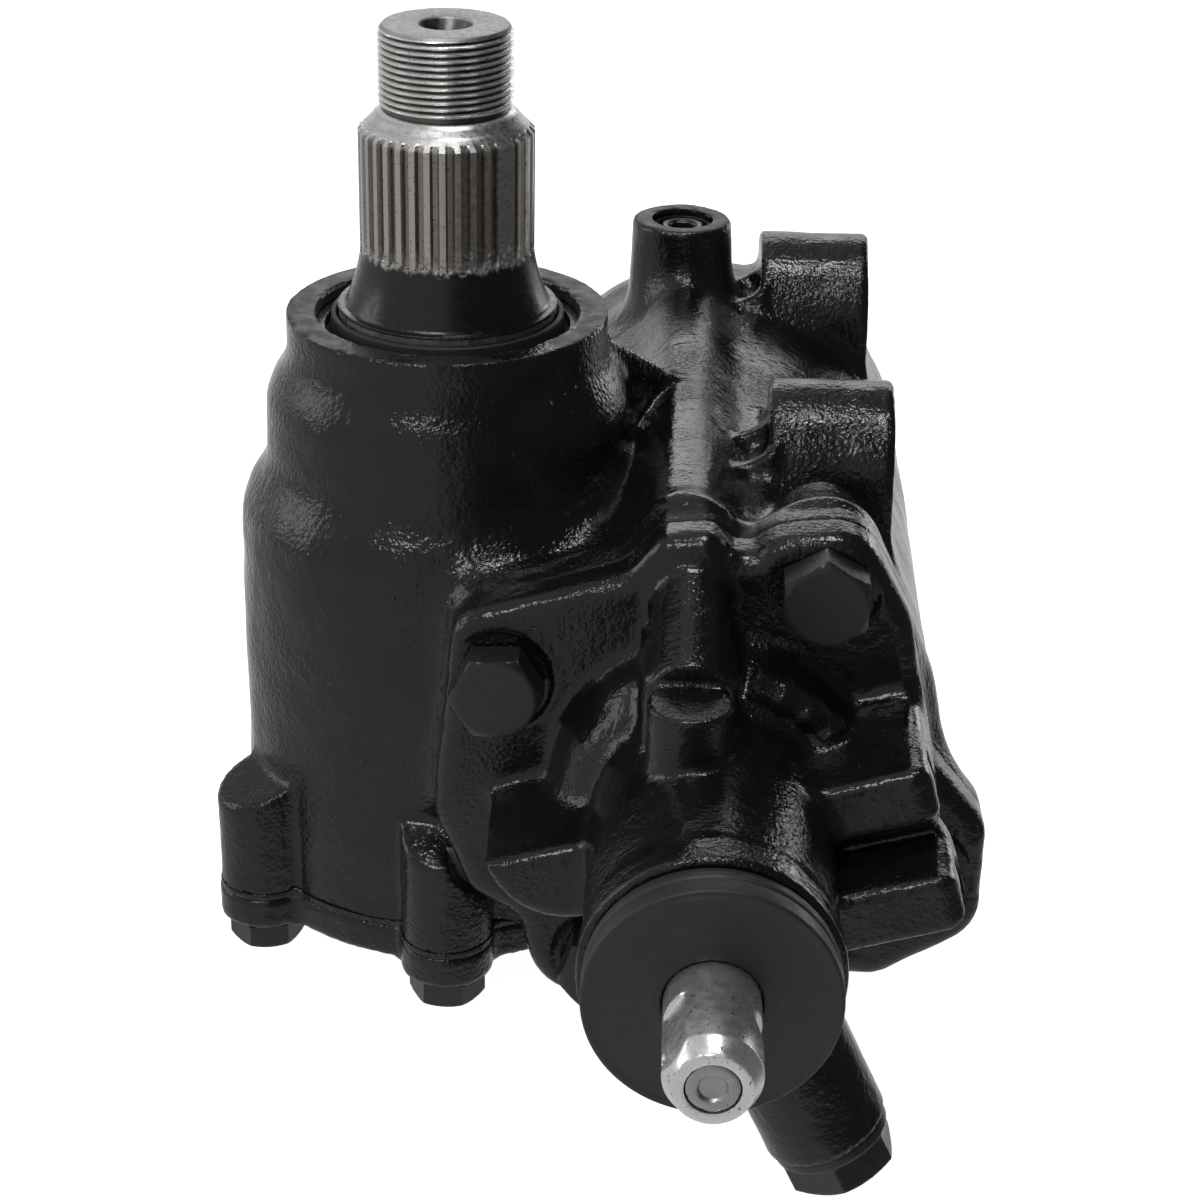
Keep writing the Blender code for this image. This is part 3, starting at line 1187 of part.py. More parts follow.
def left_boss(name):
    """Boss on the left of the valve housing, with a large round lower corner."""
    half = LEFT_BOSS_HEIGHT / 2
    centre = (LEFT_BOSS_HEIGHT - LEFT_BOSS_REACH, half)
    corner = circle_points(LEFT_BOSS_HEIGHT, COARSE, centre, math.pi, 1.5 * math.pi)
    outline = [(-LEFT_BOSS_ROOT, half), *corner, (-LEFT_BOSS_ROOT, -half)]
    facing = PORT_FRAME @ Matrix.Rotation(math.pi / 2, 4, "X")
    return plate(name, outline, -VALVE_FLANGE_FRONT - BELL_ROOT, -LEFT_BOSS_FRONT, BLACK_PAINT, facing)


def cut_valve_housing(housing):
    """Bores, bolt holes, ports and oil passages of the valve housing."""
    groove = FACE_RING_SECTION + FACE_GAP
    bore = solid_turned(
        "valve_bore_cut",
        [
            (ADJUSTER_SEAT_RADIUS, PARTING + CUT_OVERRUN),
            (ADJUSTER_SEAT_RADIUS, ADJUSTER_SEAT),
            (WORM_HEAD_BORE, ADJUSTER_SEAT),
            (WORM_HEAD_BORE, WORM_HEAD_SEAT),
            (VALVE_BORE, WORM_HEAD_SEAT),
            (VALVE_BORE, VALVE_BORE_END),
            (INPUT_BORE, VALVE_BORE_END),
            (INPUT_BORE, BARREL_FRONT - CUT_OVERRUN),
        ],
        matrix=WORM_AXIS,
    )
    face_groove = ring(
        "face_groove_cut",
        FACE_RING_RADIUS - groove,
        FACE_RING_RADIUS + groove,
        PARTING - 2 * FACE_RING_SECTION - FACE_GAP,
        PARTING + CUT_OVERRUN,
        BLACK_PAINT,
        WORM_AXIS,
        FINE,
    )
    cut(housing, bore, face_groove)
    for i, angle in enumerate(valve_bolt_angles()):
        seat = around_worm(VALVE_BOLT_CIRCLE, angle, VALVE_FLANGE_FRONT + SPOT_FACE_DEPTH)
        front = around_worm(VALVE_BOLT_CIRCLE, angle, BARREL_FRONT)
        back = around_worm(VALVE_BOLT_CIRCLE, angle, PARTING + CUT_OVERRUN)
        cut(
            housing,
            bar(f"spot_face_{i + 1}", SPOT_FACE_RADIUS, front, seat, steps=SMALL),
            bar(f"flange_hole_{i + 1}", VALVE_BOLT_RADIUS + SHANK_GAP, front, back, steps=COARSE),
        )
    gallery_start = Vector((RIDGE_X, PARTING + CUT_OVERRUN, RIDGE_HEIGHT))
    gallery_turn = Vector((DUCT_X, STAR_BOSS_Y, STAR_BOSS_TOP - 2 * GALLERY_RADIUS))
    drop_start = gallery_turn + Vector((0, 0, PASSAGE_OVERLAP))
    drop_end = Vector((DUCT_X, STAR_BOSS_Y, VALVE_BORE - CUT_OVERRUN))
    cut(
        housing,
        bar("duct_passage", GALLERY_RADIUS - PASSAGE_STEP, gallery_start, gallery_turn, steps=COARSE),
        bar("duct_drop", PASSAGE_RADIUS, drop_start, drop_end, steps=COARSE),
    )
    for name, face, y, offset in port_places():
        mouth = PORT_FRAME @ Vector((face + CUT_OVERRUN, y, offset))
        floor = PORT_FRAME @ Vector((face - PORT_DEPTH, y, offset))
        inner = PORT_FRAME @ Vector((VALVE_BORE - CUT_OVERRUN, y, offset * PORT_PASSAGE_SHARE))
        outer = floor.lerp(mouth, PORT_PASSAGE_START)
        cut(
            housing,
            bar(f"{name}_cut", PORT_RADIUS, mouth, floor, steps=SMALL),
            bar(f"{name}_passage", PASSAGE_RADIUS, outer, inner, steps=COARSE),
        )
    origin = Vector((0, RELIEF_Y, 0))
    seat = origin + RELIEF_DIRECTION * RELIEF_SEAT
    mouth = origin + RELIEF_DIRECTION * (RELIEF_BOSS_END + CUT_OVERRUN)
    inner = origin + RELIEF_DIRECTION * (VALVE_BORE - CUT_OVERRUN)
    cut(
        housing,
        bar("relief_bore_cut", RELIEF_BORE, mouth, seat, steps=MEDIUM),
        bar("relief_passage", PASSAGE_RADIUS, seat + RELIEF_DIRECTION * PASSAGE_OVERLAP, inner, steps=COARSE),
    )


def port_places():
    """Name, face distance, Y and offset of each port in the tilted frame."""
    return (
        ("pressure_port", UPPER_PORT_FACE, UPPER_PORT_Y, UPPER_PORT_OFFSET),
        ("return_port", LOWER_PORT_FACE, LOWER_PORT_Y, LOWER_PORT_OFFSET),
    )


def build_valve_fittings():
    """Seal ring of the joint face, port seats and passage plug."""
    ring_y = PARTING - FACE_RING_SECTION - FACE_GAP
    path = [(x, ring_y, z) for x, z in circle_points(FACE_RING_RADIUS, FINE)]
    tube("housing_seal_ring", path, FACE_RING_SECTION, SEAL_RUBBER, closed=True, resolution=1)
    for name, face, y, offset in port_places():
        outer = face - PORT_DEPTH + SEAT_LENGTH + FACE_GAP
        frame = PORT_FRAME @ placed((0, y, offset), ALONG_X)
        ring(
            f"{name}_seat",
            SEAT_HOLE_RADIUS,
            PORT_RADIUS - RUNNING_GAP,
            outer - SEAT_LENGTH,
            outer,
            BEARING_STEEL,
            frame,
            SMALL,
        )
    plug_top = PLUG_BOSS_TOP - PLUG_RECESS
    socket = hexagon(PLUG_SOCKET_FLATS)
    plug = solid_turned(
        "passage_plug",
        [(PLUG_RADIUS, plug_top), (PLUG_RADIUS, plug_top - PLUG_LENGTH)],
        BLACK_BOLT,
        placed((PLUG_BOSS_X, PLUG_BOSS_Y, 0)),
        SMALL,
    )
    high = (PLUG_BOSS_X, PLUG_BOSS_Y, plug_top + MM)
    low = (PLUG_BOSS_X, PLUG_BOSS_Y, plug_top - PLUG_LENGTH / 2)
    cut(plug, bar("plug_socket", socket, high, low, steps=6))


def build_relief_valve():
    """Relief valve: screwed cap with its seal, the spring and the plunger on its seat."""
    seat = RELIEF_BOSS_END + FACE_GAP
    top = seat + RELIEF_CAP_FLANGE_THICKNESS
    shank = RELIEF_BORE - RUNNING_GAP
    cap = solid_turned(
        "relief_valve_cap",
        [
            (RELIEF_CAP_FLANGE - RELIEF_CAP_CHAMFER, top),
            (RELIEF_CAP_FLANGE, top - RELIEF_CAP_CHAMFER),
            (RELIEF_CAP_FLANGE, seat),
            (shank, seat),
            (shank, RELIEF_BOSS_END - RELIEF_CAP_SHANK),
        ],
        BLACK_BOLT,
        RELIEF_AXIS,
        MEDIUM,
    )
    origin = Vector((0, RELIEF_Y, 0))
    head_low = origin + RELIEF_DIRECTION * (top - MM)
    head_high = origin + RELIEF_DIRECTION * (top + RELIEF_CAP_HEAD)
    join(cap, bar("relief_cap_hexagon", hexagon(RELIEF_CAP_FLATS), head_low, head_high, steps=6))
    plunger_top = RELIEF_SEAT + FACE_GAP + PLUNGER_LENGTH
    solid_turned(
        "relief_plunger",
        [
            (PASSAGE_RADIUS, plunger_top),
            (PASSAGE_RADIUS, plunger_top - PLUNGER_STEP),
            (PLUNGER_RADIUS, plunger_top - PLUNGER_STEP),
            (PLUNGER_RADIUS, RELIEF_SEAT + PLUNGER_CHAMFER),
            (PASSAGE_RADIUS + PLUNGER_LIP, RELIEF_SEAT + FACE_GAP),
        ],
        BEARING_STEEL,
        RELIEF_AXIS,
        SMALL,
    )
    low = plunger_top - PLUNGER_STEP + SPRING_WIRE + FACE_GAP + RELIEF_STROKE
    high = RELIEF_BOSS_END - RELIEF_CAP_SHANK - SPRING_WIRE - FACE_GAP
    circle = RELIEF_BORE - SPRING_WIRE - 2 * RUNNING_GAP
    count = SPRING_STEPS * SPRING_TURNS
    path = []
    for i in range(count + 1):
        turn = 2 * math.pi * i / SPRING_STEPS
        local = Vector((circle * math.cos(turn), circle * math.sin(turn), low + (high - low) * i / count))
        path.append(RELIEF_AXIS @ local)
    tube("relief_spring", path, SPRING_WIRE, BEARING_STEEL, resolution=1)


def helix(start, end, radius=BALL_CIRCLE):
    """Points of the ball path between two positions along the worm."""
    steps = max(2, round((end - start) / LEAD * HELIX_STEPS))
    points = []
    for i in range(steps + 1):
        y = start + (end - start) * i / steps
        turn = helix_turn(y)
        points.append((radius * math.sin(turn), y, radius * math.cos(turn)))
    return points


def helix_turn(y):
    """Angle about the worm axis at which the ball path passes a position; the circuit starts at +X."""
    return math.pi / 2 + 2 * math.pi * (y - CIRCUIT_START) / LEAD


def groove_radius():
    """Radius of the groove cutters, wide enough for a ball inside their facets."""
    sagitta = BALL_CIRCLE * (1 - math.cos(math.pi / HELIX_STEPS))
    return (BALL_RADIUS + RUNNING_GAP + sagitta) / math.cos(math.pi / 8)


def build_worm():
    """Worm with its thrust head; the ball groove is a helix."""
    worm = turned(
        "worm",
        [
            (0.0, WORM_END),
            (WORM_RADIUS - WORM_CHAMFER, WORM_END),
            (WORM_RADIUS, WORM_END - WORM_CHAMFER),
            (WORM_RADIUS, GROOVE_START - WORM_SHOULDER),
            (WORM_NECK_RADIUS, GROOVE_START - 2 * WORM_SHOULDER),
            (WORM_NECK_RADIUS, WORM_HEAD_BACK),
            (WORM_HEAD_RADIUS, WORM_HEAD_BACK),
            (WORM_HEAD_RADIUS, WORM_HEAD_FRONT),
            (WORM_NECK_RADIUS, WORM_HEAD_FRONT),
            (WORM_NECK_RADIUS, SLEEVE_BACK + 2 * FACE_GAP),
            (STUB_RADIUS + RUNNING_GAP, SLEEVE_BACK + 2 * FACE_GAP),
            (STUB_RADIUS + RUNNING_GAP, STUB_END + FACE_GAP),
            (BAR_HEAD_RADIUS + RUNNING_GAP, STUB_END + FACE_GAP),
            (BAR_HEAD_RADIUS + RUNNING_GAP, BAR_END + FACE_GAP),
            (0.0, BAR_END + FACE_GAP),
        ],
        GROUND_STEEL,
        WORM_AXIS,
        MEDIUM,
    )
    cut(worm, tube("worm_groove_cut", helix(GROOVE_START, GROOVE_END), groove_radius()))
    bearing_bore = WORM_NECK_RADIUS + RUNNING_GAP
    front_race = (WORM_HEAD_SEAT + FACE_GAP, WORM_HEAD_FRONT - FACE_GAP)
    rear_race = (WORM_HEAD_BACK + FACE_GAP, ADJUSTER_SEAT - FACE_GAP)
    for name, (low, high) in (("thrust_bearing_front", front_race), ("thrust_bearing_rear", rear_race)):
        ring(name, bearing_bore, WORM_HEAD_RADIUS, low, high, BEARING_STEEL, WORM_AXIS)
    outer = ADJUSTER_SEAT_RADIUS - RUNNING_GAP
    low = ADJUSTER_SEAT + FACE_GAP
    high = PARTING - 2 * FACE_GAP
    adjuster = ring("bearing_adjuster", bearing_bore, outer, low, high, GROUND_STEEL, WORM_AXIS)
    for i in range(SPANNER_HOLES):
        angle = 2 * math.pi * (i + 0.5) / SPANNER_HOLES
        front = around_worm(SPANNER_HOLE_CIRCLE, angle, PARTING - CUT_OVERRUN)
        back = around_worm(SPANNER_HOLE_CIRCLE, angle, PARTING + CUT_OVERRUN)
        cut(adjuster, bar(f"spanner_hole_{i + 1}", SPANNER_HOLE_RADIUS, front, back, steps=COARSE))


def build_rotary_valve():
    """Valve sleeve with its rings, input shaft, torsion bar and its pin."""
    pitch = SLEEVE_LENGTH / SLEEVE_RINGS
    lands = []
    for i in range(SLEEVE_RINGS):
        centre = SLEEVE_BACK - pitch * (i + 0.5)
        half = SLEEVE_RING_WIDTH / 2 + FACE_GAP
        floor = SLEEVE_OUTER - SLEEVE_RING_DEPTH - RUNNING_GAP
        lands += [(SLEEVE_OUTER, centre + half), (floor, centre + half)]
        lands += [(floor, centre - half), (SLEEVE_OUTER, centre - half)]
        ring(
            f"sleeve_ring_{i + 1}",
            SLEEVE_OUTER - SLEEVE_RING_DEPTH,
            SLEEVE_OUTER + RING_CROWN,
            centre - SLEEVE_RING_WIDTH / 2,
            centre + SLEEVE_RING_WIDTH / 2,
            RING_POLYMER,
            WORM_AXIS,
            MEDIUM,
        )
    turned(
        "valve_sleeve",
        [
            (SLEEVE_OUTER, SLEEVE_BACK),
            *lands,
            (SLEEVE_OUTER, SLEEVE_FRONT),
            (SLEEVE_INNER, SLEEVE_FRONT),
            (SLEEVE_INNER, SLEEVE_BACK),
        ],
        GROUND_STEEL,
        WORM_AXIS,
        MEDIUM,
    )
    bar_bore = BAR_HEAD_RADIUS + RUNNING_GAP
    bearing_front = VALVE_BORE_END - FACE_GAP - INPUT_BEARING_LENGTH
    shaft = turned(
        "input_shaft",
        [
            (STUB_RADIUS, STUB_END),
            (STUB_RADIUS, SLEEVE_BACK - FACE_GAP),
            (SPOOL_RADIUS, SLEEVE_BACK - FACE_GAP),
            (SPOOL_RADIUS, SLEEVE_FRONT),
            (INPUT_JOURNAL_RADIUS, SLEEVE_FRONT - JOURNAL_SHOULDER),
            (INPUT_JOURNAL_RADIUS, bearing_front - JOURNAL_SHOULDER / 2),
            (INPUT_RADIUS, bearing_front - JOURNAL_SHOULDER),
            (INPUT_RADIUS, INPUT_TIP + INPUT_TIP_CHAMFER),
            (INPUT_RADIUS - INPUT_TIP_INSET, INPUT_TIP),
            (bar_bore, INPUT_TIP),
            (bar_bore, STUB_END),
        ],
        BRIGHT_STEEL,
        WORM_AXIS,
        MEDIUM,
    )
    for i in range(SPOOL_SLOTS):
        angle = 2 * math.pi * i / SPOOL_SLOTS
        start = around_worm(SPOOL_RADIUS + SPOOL_SLOT_RISE, angle, SLEEVE_BACK - SPOOL_SLOT_END)
        end = around_worm(SPOOL_RADIUS + SPOOL_SLOT_RISE, angle, SLEEVE_FRONT + SPOOL_SLOT_END)
        cut(shaft, bar(f"spool_slot_{i + 1}", SPOOL_SLOT_RADIUS, start, end, steps=COARSE))
    turned(
        "torsion_bar",
        [
            (0.0, BAR_END),
            (BAR_HEAD_RADIUS, BAR_END),
            (BAR_HEAD_RADIUS, BAR_END - BAR_HEAD_LENGTH),
            (BAR_RADIUS, BAR_END - BAR_HEAD_LENGTH - BAR_TAPER),
            (BAR_RADIUS, INPUT_TIP + BAR_HEAD_LENGTH + BAR_TAPER),
            (BAR_HEAD_RADIUS, INPUT_TIP + BAR_HEAD_LENGTH),
            (BAR_HEAD_RADIUS, INPUT_TIP + FACE_GAP),
            (0.0, INPUT_TIP + FACE_GAP),
        ],
        GROUND_STEEL,
        WORM_AXIS,
        SMALL,
    )
    pin_low = Vector((-INPUT_RADIUS - CUT_OVERRUN, BAR_PIN_Y, 0))
    pin_high = Vector((INPUT_RADIUS + CUT_OVERRUN, BAR_PIN_Y, 0))
    hole = bar("bar_pin_hole", BAR_PIN_RADIUS + BAR_PIN_CLEARANCE, pin_low, pin_high, steps=COARSE)
    cut(shaft, hole)
    combine(bpy.data.objects["torsion_bar"], hole)
    reach = INPUT_RADIUS - BAR_PIN_INSET
    left = (-reach, BAR_PIN_Y, 0)
    right = (reach, BAR_PIN_Y, 0)
    bar("torsion_bar_pin", BAR_PIN_RADIUS, left, right, BEARING_STEEL, steps=COARSE)
    cut_clamp_flat(shaft)


def cut_clamp_flat(shaft):
    """Flat and pinch-bolt scallop near the tip of the input shaft."""
    flat = Matrix.Rotation(CLAMP_FLAT_TURN, 4, "Y")
    low = (-INPUT_RADIUS * 2, INPUT_TIP - CUT_OVERRUN, -INPUT_RADIUS)
    high = (-INPUT_RADIUS + CLAMP_FLAT_DEPTH, INPUT_TIP + CLAMP_FLAT_LENGTH, INPUT_RADIUS)
    scallop = Vector((INPUT_RADIUS + SCALLOP_OFFSET, SCALLOP_Y, 0))
    reach = Vector((0, 0, INPUT_RADIUS + CUT_OVERRUN))
    cut(
        shaft,
        block("clamp_flat_cut", low, high, matrix=flat),
        bar("scallop_cut", SCALLOP_RADIUS, scallop - reach, scallop + reach, steps=SMALL),
    )


def build_input_end():
    """Bearing, seal and dust disc round the input shaft."""
    outer = INPUT_BORE - RUNNING_GAP
    back = VALVE_BORE_END - FACE_GAP
    front = back - INPUT_BEARING_LENGTH
    ring("input_bearing", INPUT_JOURNAL_RADIUS + RUNNING_GAP, outer, front, back, BEARING_STEEL, WORM_AXIS)
    back = front - INPUT_SEAL_SPACING
    front = back - INPUT_SEAL_LENGTH
    bore = INPUT_RADIUS + RUNNING_GAP
    turned(
        "input_seal",
        [
            (outer, back),
            (outer, front),
            (INPUT_RADIUS + INPUT_SEAL_LIP, front),
            (bore, front + SEAL_LIP_EDGE),
            (bore, front + SEAL_LIP_HEIGHT),
            (outer - INPUT_SEAL_WALL, front + SEAL_LIP_HEIGHT),
            (outer - INPUT_SEAL_WALL, back),
        ],
        SEAL_RUBBER,
        WORM_AXIS,
        MEDIUM,
    )
    turned(
        "dust_disc",
        [
            (DISC_RADIUS, DISC_FRONT + DISC_THICKNESS),
            (DISC_RADIUS, DISC_FRONT + DISC_CHAMFER),
            (DISC_RADIUS - DISC_CHAMFER, DISC_FRONT),
            (bore, DISC_FRONT),
            (bore, DISC_FRONT + DISC_THICKNESS),
        ],
        SEAL_RUBBER,
        WORM_AXIS,
    )


def rack_cutter():
    """Cuts the flat side of the piston and the gaps between its rack teeth."""
    tip = -(RACK_PITCH_OFFSET + ADDENDUM)
    root = -(RACK_PITCH_OFFSET - DEDENDUM)
    pitch = math.pi * MODULE
    half_gap = (pitch + BACKLASH) / 4
    slope = math.tan(PRESSURE_ANGLE)
    outside = -(PISTON_RADIUS + CUT_OVERRUN)
    outline = [(outside, PISTON_FRONT - CUT_OVERRUN), (tip, PISTON_FRONT - CUT_OVERRUN)]
    for i in range(SECTOR_TEETH):
        centre = (i - (SECTOR_TEETH - 1) / 2) * pitch
        wide = half_gap + ADDENDUM * slope
        narrow = half_gap - DEDENDUM * slope
        outline += [(tip, centre - wide), (root, centre - narrow)]
        outline += [(root, centre + narrow), (tip, centre + wide)]
    outline += [(tip, RACK_FLAT_END), (outside, RACK_FLAT_END)]
    return plate("rack_cut", outline, outside, -outside)


def build_rack_piston():
    """Piston and ball nut in one: rack on the left, ball circuit and return guide on the right."""
    floor = PISTON_RADIUS - PISTON_RING_DEPTH - RUNNING_GAP
    half = PISTON_RING_WIDTH / 2 + FACE_GAP
    piston = turned(
        "rack_piston",
        [
            (0.0, PISTON_REAR),
            (PISTON_RADIUS - PISTON_CHAMFER, PISTON_REAR),
            (PISTON_RADIUS, PISTON_REAR - PISTON_CHAMFER),
            (PISTON_RADIUS, PISTON_RING_Y + half),
            (floor, PISTON_RING_Y + half),
            (floor, PISTON_RING_Y - half),
            (PISTON_RADIUS, PISTON_RING_Y - half),
            (PISTON_RADIUS, PISTON_FRONT),
            (NUT_BORE, PISTON_FRONT),
            (NUT_BORE, PISTON_HOLLOW_END),
            (0.0, PISTON_HOLLOW_END),
        ],
        GROUND_STEEL,
        WORM_AXIS,
    )
    circuit_end = CIRCUIT_START + CIRCUIT_TURNS * LEAD
    overrun = LEAD / HELIX_STEPS
    groove = tube("nut_groove_cut", helix(CIRCUIT_START - overrun, circuit_end + overrun), groove_radius())
    cut(piston, rack_cutter(), groove)
    middle = (CIRCUIT_START + circuit_end) / 2
    clamp_low = GUIDE_RUN_X + GUIDE_RADIUS + FACE_GAP
    screw_end = clamp_low - CLAMP_SCREW_REACH
    cut_guide_seats(piston, middle, circuit_end, clamp_low, screw_end)
    poppet_low = (0, PISTON_HOLLOW_END - CUT_OVERRUN, 0)
    poppet_high = (0, PISTON_REAR + CUT_OVERRUN, 0)
    cut(piston, bar("poppet_hole", POPPET_RADIUS + RUNNING_GAP, poppet_low, poppet_high, steps=COARSE))
    poppet_low = (0, PISTON_HOLLOW_END + POPPET_INSET, 0)
    poppet_high = (0, PISTON_REAR - POPPET_INSET, 0)
    bar("unloader_poppet", POPPET_RADIUS, poppet_low, poppet_high, BEARING_STEEL, steps=COARSE)
    ring(
        "piston_ring",
        PISTON_RADIUS - PISTON_RING_DEPTH,
        PISTON_RADIUS + RING_CROWN / 2,
        PISTON_RING_Y - PISTON_RING_WIDTH / 2,
        PISTON_RING_Y + PISTON_RING_WIDTH / 2,
        RING_POLYMER,
        WORM_AXIS,
        FINE,
    )
    build_ball_return(middle, circuit_end, clamp_low, screw_end)


def cut_guide_seats(piston, middle, circuit_end, clamp_low, screw_end):
    """Slot and leg holes of the ball return guide, and the seat of its clamp."""
    slot = GUIDE_RADIUS + GUIDE_CLEARANCE
    outside = PISTON_RADIUS + CUT_OVERRUN
    for i, y in enumerate((CIRCUIT_START, circuit_end)):
        inner = (NUT_BORE - GUIDE_RADIUS, y, 0)
        cut(piston, bar(f"guide_leg_hole_{i + 1}", slot, inner, (GUIDE_RUN_X, y, 0), steps=COARSE))
    room = slot + CLAMP_CLEARANCE
    low = (GUIDE_RUN_X - slot, CIRCUIT_START - room, -room)
    high = (outside, circuit_end + room, room)
    cut(piston, block("guide_slot_cut", low, high))
    reach = CLAMP_HALF_LENGTH + CLAMP_CLEARANCE
    width = CLAMP_WIDTH / 2 + CLAMP_CLEARANCE
    low = (clamp_low - FACE_GAP, middle - width, -reach)
    high = (outside, middle + width, reach)
    cut(piston, block("clamp_slot_cut", low, high))
    for i, z in enumerate((-CLAMP_SCREW_OFFSET, CLAMP_SCREW_OFFSET)):
        mouth = (PISTON_RADIUS, middle, z)
        floor = (screw_end - HOLE_EXTRA, middle, z)
        name = f"clamp_screw_hole_{i + 1}"
        cut(piston, bar(name, CLAMP_SCREW_RADIUS + SHANK_GAP, mouth, floor, steps=COARSE))


def build_ball_return(middle, circuit_end, clamp_low, screw_end):
    """Ball train, its return guide, and the clamp with two screws that holds the guide."""
    length = CIRCUIT_TURNS * math.hypot(2 * math.pi * BALL_CIRCLE, LEAD)
    count = int(length / (2 * BALL_RADIUS))
    path = []
    radii = []
    for i in range(count):
        for along, scale in BEAD:
            part = (i + 0.5 + along / 2) / count
            y = CIRCUIT_START + part * CIRCUIT_TURNS * LEAD
            turn = helix_turn(y)
            path.append((BALL_CIRCLE * math.sin(turn), y, BALL_CIRCLE * math.cos(turn)))
            radii.append(scale)
    tube("ball_train", path, BALL_RADIUS, BEARING_STEEL, radii=radii, resolution=1)
    inner = BALL_CIRCLE + BALL_RADIUS + FACE_GAP
    corner = GUIDE_CORNER
    guide = [
        (inner, CIRCUIT_START, 0),
        (GUIDE_RUN_X - corner, CIRCUIT_START, 0),
        (GUIDE_RUN_X, CIRCUIT_START + corner, 0),
        (GUIDE_RUN_X, circuit_end - corner, 0),
        (GUIDE_RUN_X - corner, circuit_end, 0),
        (inner, circuit_end, 0),
    ]
    tube("ball_return_guide", guide, GUIDE_RADIUS, BEARING_STEEL)
    clamp = block(
        "guide_clamp",
        (clamp_low, middle - CLAMP_WIDTH / 2, -CLAMP_HALF_LENGTH),
        (clamp_low + CLAMP_THICKNESS, middle + CLAMP_WIDTH / 2, CLAMP_HALF_LENGTH),
        GROUND_STEEL,
    )
    top = clamp_low + CLAMP_THICKNESS + FACE_GAP
    crown = top + CLAMP_SCREW_HEAD_HEIGHT
    for i, z in enumerate((-CLAMP_SCREW_OFFSET, CLAMP_SCREW_OFFSET)):
        hole = (CLAMP_SCREW_RADIUS + SHANK_GAP, (clamp_low - MM, middle, z), (crown, middle, z))
        cut(clamp, bar(f"clamp_hole_{i + 1}", *hole, steps=COARSE))
        name = f"clamp_screw_{i + 1}"
        screw = bar(name, CLAMP_SCREW_HEAD, (top, middle, z), (crown, middle, z), BLACK_BOLT, steps=COARSE)
        shank = (CLAMP_SCREW_RADIUS, (screw_end, middle, z), ((top + crown) / 2, middle, z))
        join(screw, bar(f"clamp_shank_{i + 1}", *shank, steps=COARSE))


# Pieces carried by each moving axis: an empty stands on the axis and holds them
SLEEVE_RING_NAMES = [f"sleeve_ring_{i + 1}" for i in range(SLEEVE_RINGS)]
MOVING = {
    "sector_axis": ((-CENTRE_DISTANCE, 0, 0), ("sector_shaft", "lash_retainer")),
    "worm_axis": ((0, 0, 0), ("worm", "valve_sleeve", *SLEEVE_RING_NAMES)),
    "input_axis": ((0, BARREL_FRONT, 0), ("input_shaft", "torsion_bar", "torsion_bar_pin", "dust_disc")),
    "piston_axis": (
        (0, PISTON_FRONT, 0),
        (
            "rack_piston",
            "piston_ring",
            "ball_train",
            "ball_return_guide",
            "guide_clamp",
            "clamp_screw_1",
            "clamp_screw_2",
            "unloader_poppet",
        ),
    ),
    "relief_axis": (around_worm(RELIEF_SEAT, RELIEF_ANGLE, RELIEF_Y), ("relief_plunger",)),
}


def assemble():
    """Parents the pieces to their axes, and stands the whole assembly on Z = 0, centred."""
    root = bpy.data.objects.new("gearbox_origin", None)
    PARTS.objects.link(root)
    carried = {}
    for name, (place, members) in MOVING.items():
        empty = bpy.data.objects.new(name, None)
        empty.location = place
        PARTS.objects.link(empty)
        empty.parent = root
        for member in members:
            carried[member] = empty
    bpy.context.view_layer.update()
    depsgraph = bpy.context.evaluated_depsgraph_get()
    low = Vector((math.inf,) * 3)
    high = -low
    for obj in PARTS.objects:
        if obj.type != "MESH":
            continue
        evaluated = obj.evaluated_get(depsgraph)
        for vertex in evaluated.data.vertices:
            place = obj.matrix_world @ vertex.co
            low = Vector(map(min, low, place))
            high = Vector(map(max, high, place))
    for obj in list(PARTS.objects) + list(CUTTERS.objects):
        if obj.type != "MESH":
            continue
        holder = carried.get(obj.name, root)
        place = obj.matrix_world.copy()
        obj.parent = holder
        obj.matrix_world = place
    root.location = (-(low.x + high.x) / 2, -(low.y + high.y) / 2, -low.z)
    bpy.context.view_layer.update()


def build():
    build_gear_housing()
    cover_bottom = build_side_cover()
    build_cover_gasket()
    build_bolts(cover_bottom)
    build_sector_shaft()
    build_sector_stack()
    build_adjuster()
    build_valve_housing()
    build_valve_fittings()
    build_relief_valve()
    build_worm()
    build_rotary_valve()
    build_input_end()
    build_rack_piston()
    assemble()


build()
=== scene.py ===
import json
import math

import bmesh
import bpy
import numpy as np
from mathutils import Matrix, Vector


